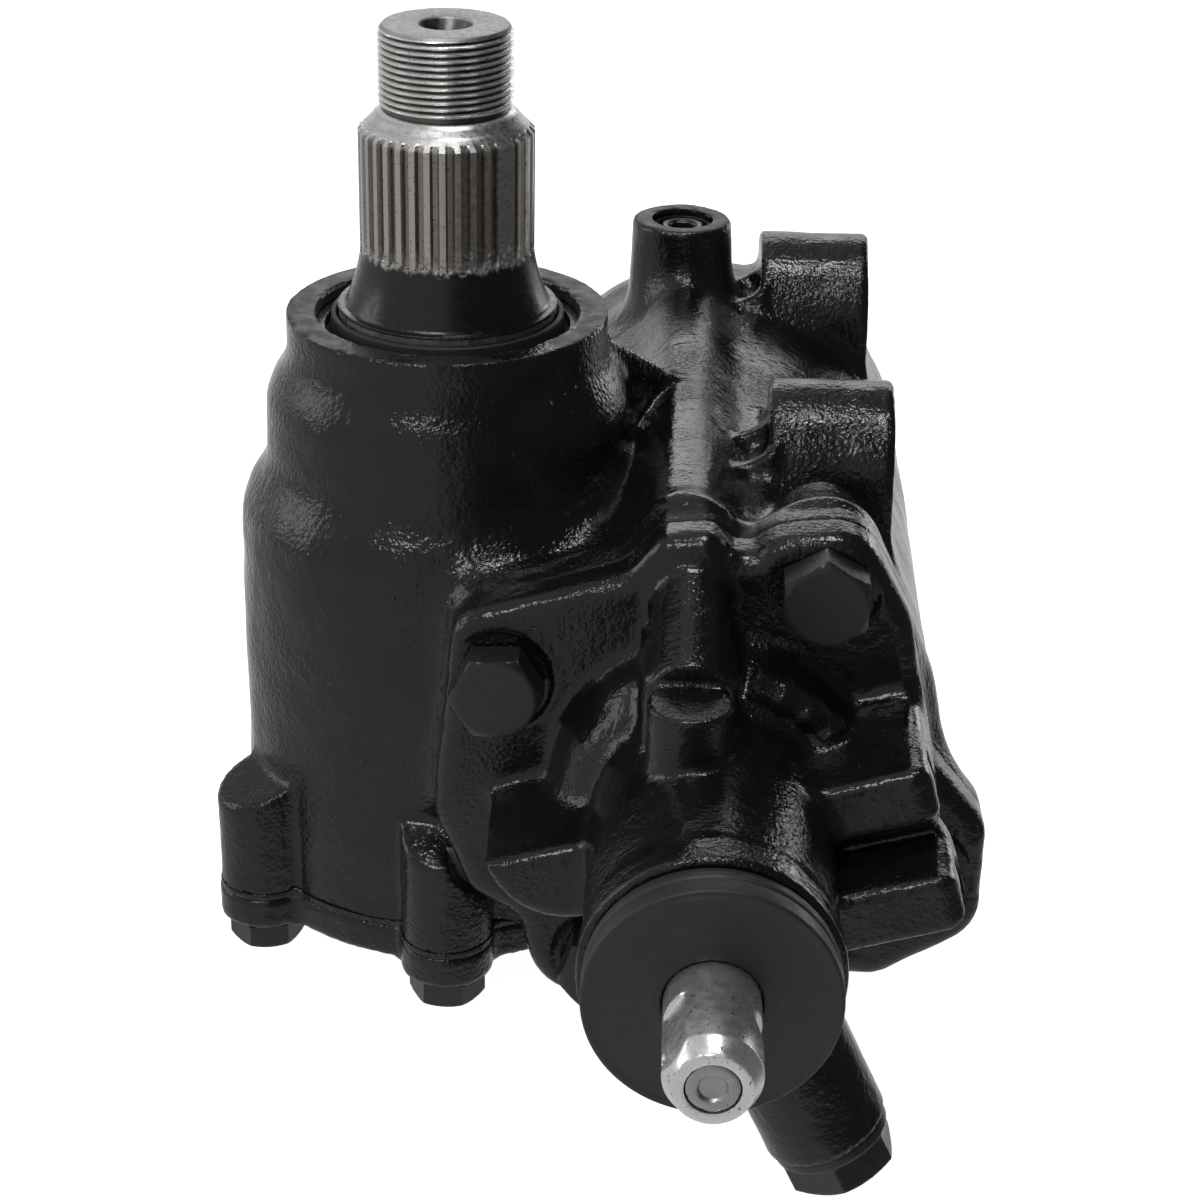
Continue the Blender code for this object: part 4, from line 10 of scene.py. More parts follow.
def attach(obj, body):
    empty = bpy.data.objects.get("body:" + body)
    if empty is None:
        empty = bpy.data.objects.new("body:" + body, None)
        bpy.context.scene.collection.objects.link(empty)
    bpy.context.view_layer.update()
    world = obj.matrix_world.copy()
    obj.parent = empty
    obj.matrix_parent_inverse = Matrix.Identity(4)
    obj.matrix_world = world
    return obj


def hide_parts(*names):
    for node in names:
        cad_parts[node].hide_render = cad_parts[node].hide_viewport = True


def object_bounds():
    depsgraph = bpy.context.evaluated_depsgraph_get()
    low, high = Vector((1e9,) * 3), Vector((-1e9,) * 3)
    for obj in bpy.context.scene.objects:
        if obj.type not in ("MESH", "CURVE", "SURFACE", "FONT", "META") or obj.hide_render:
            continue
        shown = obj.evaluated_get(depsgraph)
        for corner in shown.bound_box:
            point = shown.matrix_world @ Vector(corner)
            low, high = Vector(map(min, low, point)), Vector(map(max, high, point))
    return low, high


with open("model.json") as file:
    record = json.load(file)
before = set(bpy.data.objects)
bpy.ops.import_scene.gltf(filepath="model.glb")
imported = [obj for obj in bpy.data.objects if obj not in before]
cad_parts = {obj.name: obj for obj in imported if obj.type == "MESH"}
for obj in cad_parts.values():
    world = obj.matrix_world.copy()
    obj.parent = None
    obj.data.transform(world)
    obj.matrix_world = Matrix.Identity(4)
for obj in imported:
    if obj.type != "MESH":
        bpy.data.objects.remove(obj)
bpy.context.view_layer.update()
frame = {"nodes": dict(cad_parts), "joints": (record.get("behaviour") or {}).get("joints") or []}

MM = 0.001

# The shapes below are drawn in mm round the gear: the worm axis is X = 0, Z = 0 and points along Y,
# and the sector axis stands at X = -CENTRE_DISTANCE, Y = 0.
JOINTS = {joint["name"]: joint for joint in frame["joints"]}
WORM_PLACE = JOINTS["worm_turn"]["pos_m"]
SECTOR_PLACE = JOINTS["sector_swing"]["pos_m"]
ORIGIN = np.array((WORM_PLACE[0], SECTOR_PLACE[1], WORM_PLACE[2]))
CENTRE_DISTANCE = (WORM_PLACE[0] - SECTOR_PLACE[0]) / MM

UPRIGHT = Matrix.Identity(4)
SECTOR = Matrix.Translation((-CENTRE_DISTANCE, 0, 0))
ALONG_Y = Matrix.Rotation(-math.pi / 2, 4, "X")
FACING_FRONT = Matrix.Rotation(math.pi / 2, 4, "X")
FACING_RIGHT = Matrix(((0, 0, 1, 0), (1, 0, 0, 0), (0, 1, 0, 0), (0, 0, 0, 1)))
PORT_TILT = Matrix.Rotation(math.radians(-16), 4, "Y")

# Grid steps of the distance fields, in mm
CASTING_STEP = 1.2
VALVE_STEP = 0.9
COVER_STEP = 1.1
GASKET_STEP = 0.65
FINE_STEP = 0.45

FAR = 60.0
WINDOW = 3.5
TABLE_STEP = 0.25
TINY = 1e-6


def smooth_min(a, b, soft):
    """Smaller of two distances, blended where they are within a width of each other."""
    if soft <= 0.0:
        return np.minimum(a, b)
    share = np.maximum(soft - np.abs(a - b), 0.0) / soft
    return np.minimum(a, b) - share * share * (soft / 4)


def smooth_max(a, b, soft):
    return -smooth_min(-a, -b, soft)


def shaped(matrix, low, high, distance):
    """A shape with its box: the distance is given in a local frame."""
    corners = [
        matrix @ Vector((x, y, z)) for x in (low[0], high[0]) for y in (low[1], high[1]) for z in (low[2], high[2])
    ]
    box = np.array([tuple(corner) for corner in corners])
    inverse = matrix.inverted()

    def at(x, y, z):
        local = []
        for row in inverse[:3]:
            value = np.float32(row[3])
            for factor, axis in zip(row[:3], (x, y, z)):
                if abs(factor) > TINY:
                    value = value + np.float32(factor) * axis
            local.append(value)
        return distance(*local)

    return box.min(axis=0), box.max(axis=0), at


def lathe(matrix, profile, edge=0.0, blur=0.0):
    """A turned form: (height, radius) points run up the local Z axis, and blur softens them."""
    low, high = profile[0][0], profile[-1][0]
    heights = np.arange(low - FAR / 4, high + FAR / 4, TABLE_STEP)
    radii = np.interp(heights, [p[0] for p in profile], [p[1] for p in profile])
    if blur > 0.0:
        reach = int(3 * blur / TABLE_STEP)
        weights = np.exp(-0.5 * (np.arange(-reach, reach + 1) * TABLE_STEP / blur) ** 2)
        padded = np.pad(radii, reach, mode="edge")
        radii = np.convolve(padded, weights / weights.sum(), mode="valid")
    lean = 1.0 / np.sqrt(1.0 + np.gradient(radii, TABLE_STEP) ** 2)
    widest = max(p[1] for p in profile)

    def distance(x, y, z):
        side = np.sqrt(x * x + y * y) - np.interp(z, heights, radii).astype(np.float32)
        side = side * np.interp(z, heights, lean).astype(np.float32)
        return smooth_max(side, np.maximum(z - high, low - z), edge)

    return shaped(matrix, (-widest, -widest, low), (widest, widest, high), distance)


def rod(start, end, radius, end_radius=None, edge=0.0):
    """A round bar or a cone between two points."""
    start, end = Vector(start), Vector(end)
    turn = (end - start).to_track_quat("Z", "Y").to_matrix().to_4x4()
    profile = ((0.0, radius), ((end - start).length, radius if end_radius is None else end_radius))
    return lathe(Matrix.Translation(start) @ turn, profile, edge)


def ball(centre, radius):
    """A round lump."""

    def distance(x, y, z):
        return np.sqrt(x * x + y * y + z * z) - radius

    return shaped(Matrix.Translation(centre), (-radius,) * 3, (radius,) * 3, distance)


def block(matrix, low, high, edge=0.0):
    """A box with rounded edges."""
    centre = [(a + b) / 2 for a, b in zip(low, high)]
    half = [(b - a) / 2 - edge for a, b in zip(low, high)]

    def distance(x, y, z):
        gaps = [np.abs(value - c) - h for value, c, h in zip((x, y, z), centre, half)]
        outside = np.sqrt(sum(np.maximum(gap, 0.0) ** 2 for gap in gaps))
        inside = np.minimum(np.maximum(np.maximum(gaps[0], gaps[1]), gaps[2]), 0.0)
        return outside + inside - edge

    return shaped(matrix, low, high, distance)


def outline_distance(x, y, outline):
    """Signed distance in a plane to a closed outline."""
    best = np.full(np.broadcast_shapes(np.shape(x), np.shape(y)), FAR * FAR * 9, np.float32)
    outside = np.ones(best.shape, bool)
    for (ax, ay), (bx, by) in zip(outline, outline[1:] + outline[:1]):
        ex, ey = bx - ax, by - ay
        wx, wy = x - ax, y - ay
        along = np.clip((wx * ex + wy * ey) / (ex * ex + ey * ey), 0.0, 1.0)
        best = np.minimum(best, (wx - ex * along) ** 2 + (wy - ey * along) ** 2)
        above, below, left = y >= ay, y < by, ex * wy > ey * wx
        outside ^= (above & below & left) | ~(above | below | left)
    return np.where(outside, 1.0, -1.0).astype(np.float32) * np.sqrt(best)


def plate(matrix, outline, low, high, edge=0.0):
    """An outline in the local XY plane between two local heights."""
    places = np.array(outline)

    def distance(x, y, z):
        return smooth_max(outline_distance(x, y, outline), np.maximum(z - high, low - z), edge)

    return shaped(matrix, (*places.min(axis=0), low), (*places.max(axis=0), high), distance)


def arc(radius, start, end, count, centre=(0.0, 0.0)):
    """Points of an arc, with its angles in degrees."""
    angles = np.radians(np.linspace(start, end, count))
    return [(centre[0] + radius * math.cos(a), centre[1] + radius * math.sin(a)) for a in angles]


def rounded_outline(corners, steps=6):
    """Outline through (x, y, radius) corners, each rounded by an arc."""
    outline = []
    for i, (x, y, radius) in enumerate(corners):
        here = Vector((x, y))
        before = (Vector(corners[i - 1][:2]) - here).normalized()
        after = (Vector(corners[(i + 1) % len(corners)][:2]) - here).normalized()
        half = before.angle(after) / 2
        centre = here + (before + after).normalized() * (radius / math.sin(half))
        first = here + before * (radius / math.tan(half)) - centre
        last = here + after * (radius / math.tan(half)) - centre
        sweep = first.angle_signed(last)
        for k in range(steps + 1):
            point = centre + Matrix.Rotation(-sweep * k / steps, 2) @ first
            outline.append((point.x, point.y))
    return outline


LATTICE_SIZE = 32
LATTICE = np.random.default_rng(11).uniform(-1.0, 1.0, (LATTICE_SIZE,) * 3).astype(np.float32)


def noise(x, y, z, size):
    """Smooth random values between -1 and 1, with lumps about a size apart."""
    cells, parts = [], []
    for value in (x, y, z):
        scaled = value / size
        cell = np.floor(scaled).astype(int)
        part = scaled - cell
        cells.append(cell)
        parts.append(part * part * (3.0 - 2.0 * part))
    total = 0.0
    for corner in range(8):
        steps = [(corner >> axis) & 1 for axis in range(3)]
        weight = 1.0
        for part, step in zip(parts, steps):
            weight = weight * (part if step else 1.0 - part)
        index = tuple((cell + step) % LATTICE_SIZE for cell, step in zip(cells, steps))
        total = total + weight * LATTICE[index]
    return total


class Field:
    """Distances to a body, at a grid of points or at a list of them."""

    def __init__(self, x, y, z):
        self.axes = (x, y, z)
        self.value = np.full(np.broadcast_shapes(x.shape, y.shape, z.shape), FAR, np.float32)

    def window(self, shape, soft):
        """The points near a shape's box: where they are in the field, and their coordinates."""
        low = shape[0] - soft - WINDOW
        high = shape[1] + soft + WINDOW
        x, y, z = self.axes
        if self.value.ndim == 3:
            place = []
            for axis, values in enumerate(self.axes):
                place.append(slice(*np.searchsorted(values.ravel(), (low[axis], high[axis]))))
            return tuple(place), (x[place[0]], y[:, place[1]], z[:, :, place[2]])
        near = (x > low[0]) & (x < high[0]) & (y > low[1]) & (y < high[1]) & (z > low[2]) & (z < high[2])
        place = np.nonzero(near)[0]
        return place, (x[place], y[place], z[place])

    def join(self, shape, soft=0.0):
        place, points = self.window(shape, soft)
        self.value[place] = smooth_min(self.value[place], shape[2](*points), soft)

    def cut(self, shape, soft=0.0):
        place, points = self.window(shape, soft)
        self.value[place] = smooth_max(self.value[place], -shape[2](*points), soft)

    def roughen(self, sizes):
        """Raises and sinks the surface by (lump size, height) waves of a sand casting."""
        near = np.nonzero(np.abs(self.value) < WINDOW)
        if self.value.ndim == 3:
            points = [values.ravel()[index] for values, index in zip(self.axes, near)]
        else:
            points = [values[near] for values in self.axes]
        for size, height in sizes:
            self.value[near] += (height * noise(*points, size)).astype(np.float32)


def body_distance(forms, cuts, waves, x, y, z):
    """Distance to a body made of joined forms and cuts, each with its blend width."""
    field = Field(x, y, z)
    for soft, shape in forms:
        field.join(shape, soft)
    if waves:
        field.roughen(waves)
    for soft, shape in cuts:
        field.cut(shape, soft)
    return field.value


PROBE = 0.08
NORMAL_PROBES = ((1, 1, 1), (1, -1, -1), (-1, 1, -1), (-1, -1, 1))
PULL_TO_MEAN = 0.06
CELL_REACH = 0.7
ROOT_STEPS = 2


def skin(forms, cuts, step, waves=()):
    """Mesh of a body by dual contouring, which keeps its sharp edges: points in mm, and quads."""
    low = np.min([shape[0] for _, shape in forms], axis=0) - 3 * step
    high = np.max([shape[1] for _, shape in forms], axis=0) + 3 * step
    axes = [np.arange(low[i], high[i], step).astype(np.float32) for i in range(3)]
    grid = (axes[0][:, None, None], axes[1][None, :, None], axes[2][None, None, :])
    value = body_distance(forms, cuts, waves, *grid)

    def at(points):
        return body_distance(forms, cuts, waves, *points.astype(np.float32).T)

    crossings, cells, turned_over = [], [], []
    for axis in range(3):
        near = value[tuple(slice(None, -1) if k == axis else slice(None) for k in range(3))]
        far = value[tuple(slice(1, None) if k == axis else slice(None) for k in range(3))]
        index = np.array(np.nonzero((near < 0) != (far < 0))).T
        start = np.stack([axes[k][index[:, k]] for k in range(3)], axis=1).astype(float)
        a = near[tuple(index.T)].astype(float)
        b = far[tuple(index.T)].astype(float)
        left, right = np.zeros(len(index)), np.ones(len(index))
        value_left, value_right = a.copy(), b.copy()
        for _ in range(ROOT_STEPS):
            middle = left + (right - left) * value_left / (value_left - value_right)
            middle = np.clip(middle, left + 0.02 * (right - left), right - 0.02 * (right - left))
            point = start.copy()
            point[:, axis] += middle * step
            found = at(point)
            same = (found < 0) == (value_left < 0)
            left, value_left = np.where(same, middle, left), np.where(same, found, value_left)
            right, value_right = np.where(same, right, middle), np.where(same, value_right, found)
        middle = left + (right - left) * value_left / (value_left - value_right - TINY * np.sign(b - a))
        start[:, axis] += np.clip(middle, 0.0, 1.0) * step
        crossings.append(start)
        turned_over.append(a >= 0)
        second, third = (axis + 1) % 3, (axis + 2) % 3
        around = []
        for back_second, back_third in ((1, 1), (0, 1), (0, 0), (1, 0)):
            cell = index.copy()
            cell[:, second] -= back_second
            cell[:, third] -= back_third
            around.append((cell[:, 0] * len(axes[1]) + cell[:, 1]) * len(axes[2]) + cell[:, 2])
        cells.append(np.stack(around, axis=1))
    crossings, cells, turned_over = (np.concatenate(parts) for parts in (crossings, cells, turned_over))
    normals = np.zeros_like(crossings)
    for probe in NORMAL_PROBES:
        probe = np.array(probe, float)
        normals += probe * at(crossings + probe * PROBE)[:, None]
    normals /= np.linalg.norm(normals, axis=1, keepdims=True) + TINY

    used, corner = np.unique(cells.ravel(), return_inverse=True)
    corner = corner.reshape(-1)
    count = len(used)
    weights = np.bincount(corner, minlength=count)
    planes, points = np.repeat(normals, 4, axis=0), np.repeat(crossings, 4, axis=0)
    mean = np.stack([np.bincount(corner, points[:, k], count) / weights for k in range(3)], axis=1)
    offset = ((points - mean[corner]) * planes).sum(axis=1)
    system = np.zeros((count, 3, 3))
    side = np.zeros((count, 3))
    for i in range(3):
        side[:, i] = np.bincount(corner, planes[:, i] * offset, count)
        for k in range(3):
            system[:, i, k] = np.bincount(corner, planes[:, i] * planes[:, k], count)
        system[:, i, i] += PULL_TO_MEAN * weights
    vertices = mean + np.linalg.solve(system, side[:, :, None])[:, :, 0]
    place = np.stack(np.unravel_index(used, (len(axes[0]), len(axes[1]), len(axes[2]))), axis=1)
    centres = np.stack([axes[k][place[:, k]] for k in range(3)], axis=1) + step / 2
    vertices = np.clip(vertices, centres - CELL_REACH * step, centres + CELL_REACH * step)
    quads = corner.reshape(-1, 4)
    quads[turned_over] = quads[turned_over][:, ::-1]
    return vertices, quads


def polar_skin(matrix, angles, rows, caps=True):
    """Closed mesh of rings round the local Z axis: rows hold a height and the radii at the angles."""
    angles = np.asarray(angles)
    points = []
    for height, radii in rows:
        radii = np.broadcast_to(radii, angles.shape)
        points.append(np.stack([radii * np.cos(angles), radii * np.sin(angles), np.full(len(angles), height)], 1))
    count = len(angles)
    points = np.concatenate(points + [np.array([[0, 0, rows[0][0]], [0, 0, rows[-1][0]]])])
    near = np.arange(count)
    far = (near + 1) % count
    faces = []
    for i in range(len(rows) - 1):
        low, high = i * count, (i + 1) * count
        faces.append(np.stack([low + near, low + far, high + far, high + near], axis=1))
    faces = [tuple(face) for face in np.concatenate(faces)]
    if caps:
        first, last = len(rows) * count, len(rows) * count + 1
        top = (len(rows) - 1) * count
        faces += [(first, b, a) for a, b in zip(near, far)]
        faces += [(last, top + a, top + b) for a, b in zip(near, far)]
    turn = np.array(matrix.to_3x3())
    return points @ turn.T + np.array(matrix.translation), faces


def round_rows(profile, radius=0.0, steps=3):
    """Rows of a turned piece from (radius, height) corners, which it rounds off."""
    if radius <= 0.0:
        return [(height, r) for r, height in profile]
    rows = [(profile[0][1], profile[0][0])]
    for before, here, after in zip(profile, profile[1:], profile[2:]):
        here = Vector(here)
        first = Vector(before) - here
        last = Vector(after) - here
        first = here + first.normalized() * min(radius, first.length / 2)
        last = here + last.normalized() * min(radius, last.length / 2)
        for k in range(steps + 1):
            t = k / steps
            point = first * (1 - t) ** 2 + here * 2 * t * (1 - t) + last * t * t
            rows.append((point.y, point.x))
    rows.append((profile[-1][1], profile[-1][0]))
    return rows


def new_object(name, points, faces, materials, crease=62.0):
    """Makes a piece from points in mm round the gear."""
    mesh = bpy.data.meshes.new(name)
    places = np.asarray(points) * MM + ORIGIN
    if isinstance(faces, np.ndarray):
        mesh.vertices.add(len(places))
        mesh.vertices.foreach_set("co", places.ravel())
        mesh.loops.add(faces.size)
        mesh.loops.foreach_set("vertex_index", faces.ravel())
        mesh.polygons.add(len(faces))
        mesh.polygons.foreach_set("loop_start", np.arange(0, faces.size, 4))
        mesh.update(calc_edges=True)
    else:
        mesh.from_pydata(places.tolist(), [], [tuple(int(i) for i in face) for face in faces])
    mesh.validate()
    mesh.shade_smooth()
    mesh.set_sharp_from_angle(angle=math.radians(crease))
    for material in materials:
        mesh.materials.append(material)
    obj = bpy.data.objects.new(name, mesh)
    bpy.context.scene.collection.objects.link(obj)
    return obj


def settle(obj, body, nodes):
    """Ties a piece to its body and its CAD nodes."""
    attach(obj, body)
    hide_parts(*nodes)
    return obj


class Look:
    """Builds one node material, with its pattern coordinates in mm."""

    def __init__(self, name, roughness, metallic=0.0):
        self.material = bpy.data.materials.new(name)
        self.material.use_nodes = True
        self.nodes = self.material.node_tree.nodes
        self.links = self.material.node_tree.links
        self.shader = self.nodes["Principled BSDF"]
        self.shader.inputs["Roughness"].default_value = roughness
        self.shader.inputs["Metallic"].default_value = metallic
        coordinates = self.nodes.new("ShaderNodeTexCoord")
        self.millimetres = self.nodes.new("ShaderNodeMapping")
        self.millimetres.vector_type = "TEXTURE"
        self.millimetres.inputs["Location"].default_value = ORIGIN
        self.millimetres.inputs["Scale"].default_value = (MM, MM, MM)
        self.links.new(coordinates.outputs["Object"], self.millimetres.inputs["Vector"])

    def wire(self, source, target):
        self.links.new(source, target)

    def stretched(self, stretch):
        """Coordinates that a pattern is squeezed by."""
        node = self.nodes.new("ShaderNodeVectorMath")
        node.operation = "MULTIPLY"
        node.inputs[1].default_value = stretch
        self.wire(self.millimetres.outputs["Vector"], node.inputs[0])
        return node.outputs[0]

    def noise(self, scale, detail=2.0, stretch=None, distortion=0.0):
        node = self.nodes.new("ShaderNodeTexNoise")
        node.inputs["Scale"].default_value = scale
        node.inputs["Detail"].default_value = detail
        node.inputs["Distortion"].default_value = distortion
        source = self.stretched(stretch) if stretch else self.millimetres.outputs["Vector"]
        self.wire(source, node.inputs["Vector"])
        return node.outputs["Fac"]

    def cells(self, scale):
        node = self.nodes.new("ShaderNodeTexVoronoi")
        node.inputs["Scale"].default_value = scale
        self.wire(self.millimetres.outputs["Vector"], node.inputs["Vector"])
        return node.outputs["Distance"]

    def ramp(self, source, low, high, start=0.0, end=1.0):
        """Maps a range of values to another, and holds it there."""
        node = self.nodes.new("ShaderNodeMapRange")
        node.interpolation_type = "SMOOTHSTEP"
        for socket, value in zip(("From Min", "From Max", "To Min", "To Max"), (low, high, start, end)):
            node.inputs[socket].default_value = value
        self.wire(source, node.inputs["Value"])
        return node.outputs["Result"]

    def math(self, operation, a, b=0.0):
        node = self.nodes.new("ShaderNodeMath")
        node.operation = operation
        for socket, value in zip(node.inputs, (a, b)):
            if isinstance(value, (int, float)):
                socket.default_value = value
            else:
                self.wire(value, socket)
        return node.outputs[0]

    def mixed(self, factor, first, second):
        """A colour between two, which may be colours or sockets."""
        node = self.nodes.new("ShaderNodeMix")
        node.data_type = "RGBA"
        self.wire(factor, node.inputs["Factor"])
        for socket, value in zip((node.inputs[6], node.inputs[7]), (first, second)):
            if isinstance(value, tuple):
                socket.default_value = (*value, 1.0)
            else:
                self.wire(value, socket)
        return node.outputs[2]

    def axis(self, name):
        node = self.nodes.new("ShaderNodeSeparateXYZ")
        self.wire(self.millimetres.outputs["Vector"], node.inputs[0])
        return node.outputs[name]

    def colour(self, source):
        if isinstance(source, tuple):
            self.shader.inputs["Base Color"].default_value = (*source, 1.0)
        else:
            self.wire(source, self.shader.inputs["Base Color"])
        return self

    def rough(self, source):
        self.wire(source, self.shader.inputs["Roughness"])
        return self

    def relief(self, height, depth):
        """Bump by a height between 0 and 1, with its full depth in mm."""
        node = self.nodes.new("ShaderNodeBump")
        node.inputs["Strength"].default_value = 1.0
        node.inputs["Distance"].default_value = depth * MM
        self.wire(height, node.inputs["Height"])
        previous = self.shader.inputs["Normal"].links
        if previous:
            self.wire(previous[0].from_socket, node.inputs["Normal"])
        self.wire(node.outputs["Normal"], self.shader.inputs["Normal"])
        return self


def cast_paint():
    """Gloss black paint over rough cast iron."""
    look = Look("gloss_cast_paint", 0.16)
    peel = look.noise(0.95, 2.0)
    grain = look.noise(0.36, 3.0)
    rough_spots = look.ramp(look.noise(0.045, 2.0), 0.4, 0.6, 0.4, 1.2)
    height = look.math("ADD", look.math("MULTIPLY", peel, rough_spots), look.math("MULTIPLY", grain, 0.9))
    look.relief(height, 0.26)
    pits = look.ramp(look.noise(0.6, 1.0), 0.74, 0.8, 1.0, 0.0)
    look.relief(pits, 0.25)
    look.rough(look.ramp(look.noise(0.06, 3.0), 0.35, 0.65, 0.09, 0.18))
    look.colour(look.mixed(look.noise(0.12, 4.0), (0.0035, 0.0036, 0.004), (0.009, 0.009, 0.0098)))
    return look.material


def machined_paint():
    """Black paint over a turned face: fine scratches round the sector axis."""
    look = Look("machined_face_paint", 0.42)
    scratches = look.noise(0.5, 4.0, (3.0, 3.0, 0.4))
    look.relief(scratches, 0.05)
    look.relief(look.noise(0.35, 2.0), 0.12)
    look.rough(look.ramp(look.noise(0.3, 3.0), 0.3, 0.7, 0.36, 0.5))
    look.colour(look.mixed(look.noise(0.8, 3.0), (0.007, 0.007, 0.0075), (0.014, 0.014, 0.015)))
    return look.material


def bare_iron():
    """Machined iron of the bores."""
    look = Look("bored_iron", 0.4, 1.0)
    look.relief(look.noise(0.4, 3.0, (1.0, 6.0, 6.0)), 0.03)
    look.rough(look.ramp(look.noise(0.5, 3.0), 0.3, 0.7, 0.34, 0.5))
    look.colour(look.mixed(look.noise(0.3, 4.0), (0.16, 0.155, 0.15), (0.27, 0.26, 0.25)))
    return look.material


def bolt_black():
    """Satin black of the painted bolts."""
    look = Look("satin_black_bolt", 0.4)
    look.relief(look.noise(0.9, 3.0), 0.07)
    look.rough(look.ramp(look.noise(0.4, 3.0), 0.3, 0.7, 0.24, 0.36))
    look.colour(look.mixed(look.noise(0.5, 4.0), (0.009, 0.009, 0.0095), (0.017, 0.017, 0.018)))
    return look.material


def steel(name, dark, light, low_rough, high_rough, stretch, specks, metallic=1.0):
    """Machined steel with tool marks across the stretch, and rust specks."""
    look = Look(name, low_rough, metallic)
    marks = look.noise(0.7, 3.0, stretch)
    look.relief(marks, 0.02)
    look.rough(look.ramp(look.noise(0.5, 4.0), 0.3, 0.7, low_rough, high_rough))
    tone = look.mixed(look.noise(0.22, 4.0), dark, light)
    spots = look.ramp(look.noise(1.3, 4.0), specks, specks + 0.03)
    look.colour(look.mixed(spots, tone, (0.05, 0.035, 0.025)))
    return look


def rubber(name, low, high, roughness):
    look = Look(name, roughness)
    look.relief(look.noise(1.2, 3.0), 0.05)
    look.rough(look.ramp(look.noise(0.3, 3.0), 0.3, 0.7, roughness - 0.06, roughness + 0.08))
    look.colour(look.mixed(look.noise(0.25, 4.0), low, high))
    return look.material


CONE_PAINT_TOP = 98.6
SPLINE_TIP = 19.7
THREAD_TIP = 15.0
THREAD_BOTTOM = 131.0


def shaft_end_look():
    """Steel of the splined end: black paint below a ragged edge, painted shade in the spline and thread grooves,
    and a painted highlight on the top chamfer.
    """
    look = Look("splined_shaft_end", 0.3)
    height = look.axis("Z")
    edge = look.math("ADD", height, look.math("MULTIPLY", look.noise(0.55, 4.0, (1.0, 1.0, 0.15)), -5.0))
    paint = look.ramp(edge, CONE_PAINT_TOP - 2.6, CONE_PAINT_TOP - 0.4, 1.0, 0.0)
    overspray = look.ramp(look.noise(1.1, 3.0), 0.5, 0.6)
    low_part = look.ramp(height, CONE_PAINT_TOP, CONE_PAINT_TOP + 12, 1.0, 0.0)
    paint = look.math("MAXIMUM", paint, look.math("MULTIPLY", overspray, look.math("POWER", low_part, 3.0)))
    x = look.math("ADD", look.axis("X"), CENTRE_DISTANCE)
    y = look.axis("Y")
    radius = look.math("SQRT", look.math("ADD", look.math("MULTIPLY", x, x), look.math("MULTIPLY", y, y)))
    # Painted shade: the spline groove floors get a darker steel tone by radius, on top of their real depth.
    spline_groove_shade = look.ramp(radius, SPLINE_TIP - 1.1, SPLINE_TIP - 0.1, 0.0, 1.0)
    # Painted shade: the thread groove floors get a dark tone by radius, while the tips stay bright.
    thread_groove_shade = look.ramp(radius, THREAD_TIP - 0.9, THREAD_TIP - 0.25, 0.0, 1.0)
    on_thread = look.ramp(height, THREAD_BOTTOM - 0.2, THREAD_BOTTOM + 0.2)
    spline_tone = look.mixed(spline_groove_shade, (0.29, 0.265, 0.24), (0.54, 0.515, 0.49))
    # Painted highlight: the upward-facing top chamfer gets a lighter steel tone than the spline lands.
    painted_shoulder_highlight = look.ramp(height, 125.6, 127.2)
    spline_tone = look.mixed(painted_shoulder_highlight, spline_tone, (0.68, 0.67, 0.655))
    thread_tone = look.mixed(thread_groove_shade, (0.15, 0.147, 0.142), (0.9, 0.89, 0.87))
    end_face = look.ramp(height, 149.6, 149.9)
    thread_tone = look.mixed(end_face, thread_tone, (0.43, 0.425, 0.42))
    tone = look.mixed(on_thread, spline_tone, thread_tone)
    specks = look.ramp(look.noise(1.6, 3.0), 0.63, 0.67, 0.0, 0.6)
    tone = look.mixed(specks, tone, (0.05, 0.045, 0.04))
    look.colour(look.mixed(paint, tone, (0.005, 0.005, 0.0055)))
    look.wire(look.math("SUBTRACT", 1.0, paint), look.shader.inputs["Metallic"])
    bare = look.ramp(look.noise(0.8, 3.0), 0.3, 0.7, 0.26, 0.42)
    bare = look.math("ADD", bare, look.math("MULTIPLY", end_face, 0.16))
    look.rough(look.math("ADD", bare, look.math("MULTIPLY", paint, -0.1)))
    look.relief(look.noise(0.8, 3.0, (2.0, 2.0, 0.3)), 0.012)
    return look.material


PAINT = cast_paint()
FACE_PAINT = machined_paint()
IRON = bare_iron()
BOLT = bolt_black()
BRIGHT = steel(
    "bright_input_steel", (0.74, 0.735, 0.725), (0.88, 0.875, 0.865), 0.22, 0.34, (1.0, 5.0, 1.0), 0.66, 0.9
).material
GROUND = steel("ground_steel", (0.4, 0.39, 0.375), (0.56, 0.55, 0.535), 0.3, 0.44, (1.0, 4.0, 1.0), 0.72).material
BEARING = steel("bearing_steel", (0.5, 0.5, 0.51), (0.64, 0.64, 0.66), 0.18, 0.3, (1.0, 1.0, 5.0), 0.74).material
RUBBER = rubber("seal_rubber", (0.011, 0.011, 0.011), (0.02, 0.02, 0.02), 0.55)
DISC_RUBBER = rubber("dust_disc_rubber", (0.012, 0.012, 0.0125), (0.017, 0.017, 0.0175), 0.48)
POLYMER = rubber("ring_polymer", (0.03, 0.028, 0.025), (0.06, 0.055, 0.05), 0.45)
SHAFT_END = shaft_end_look()

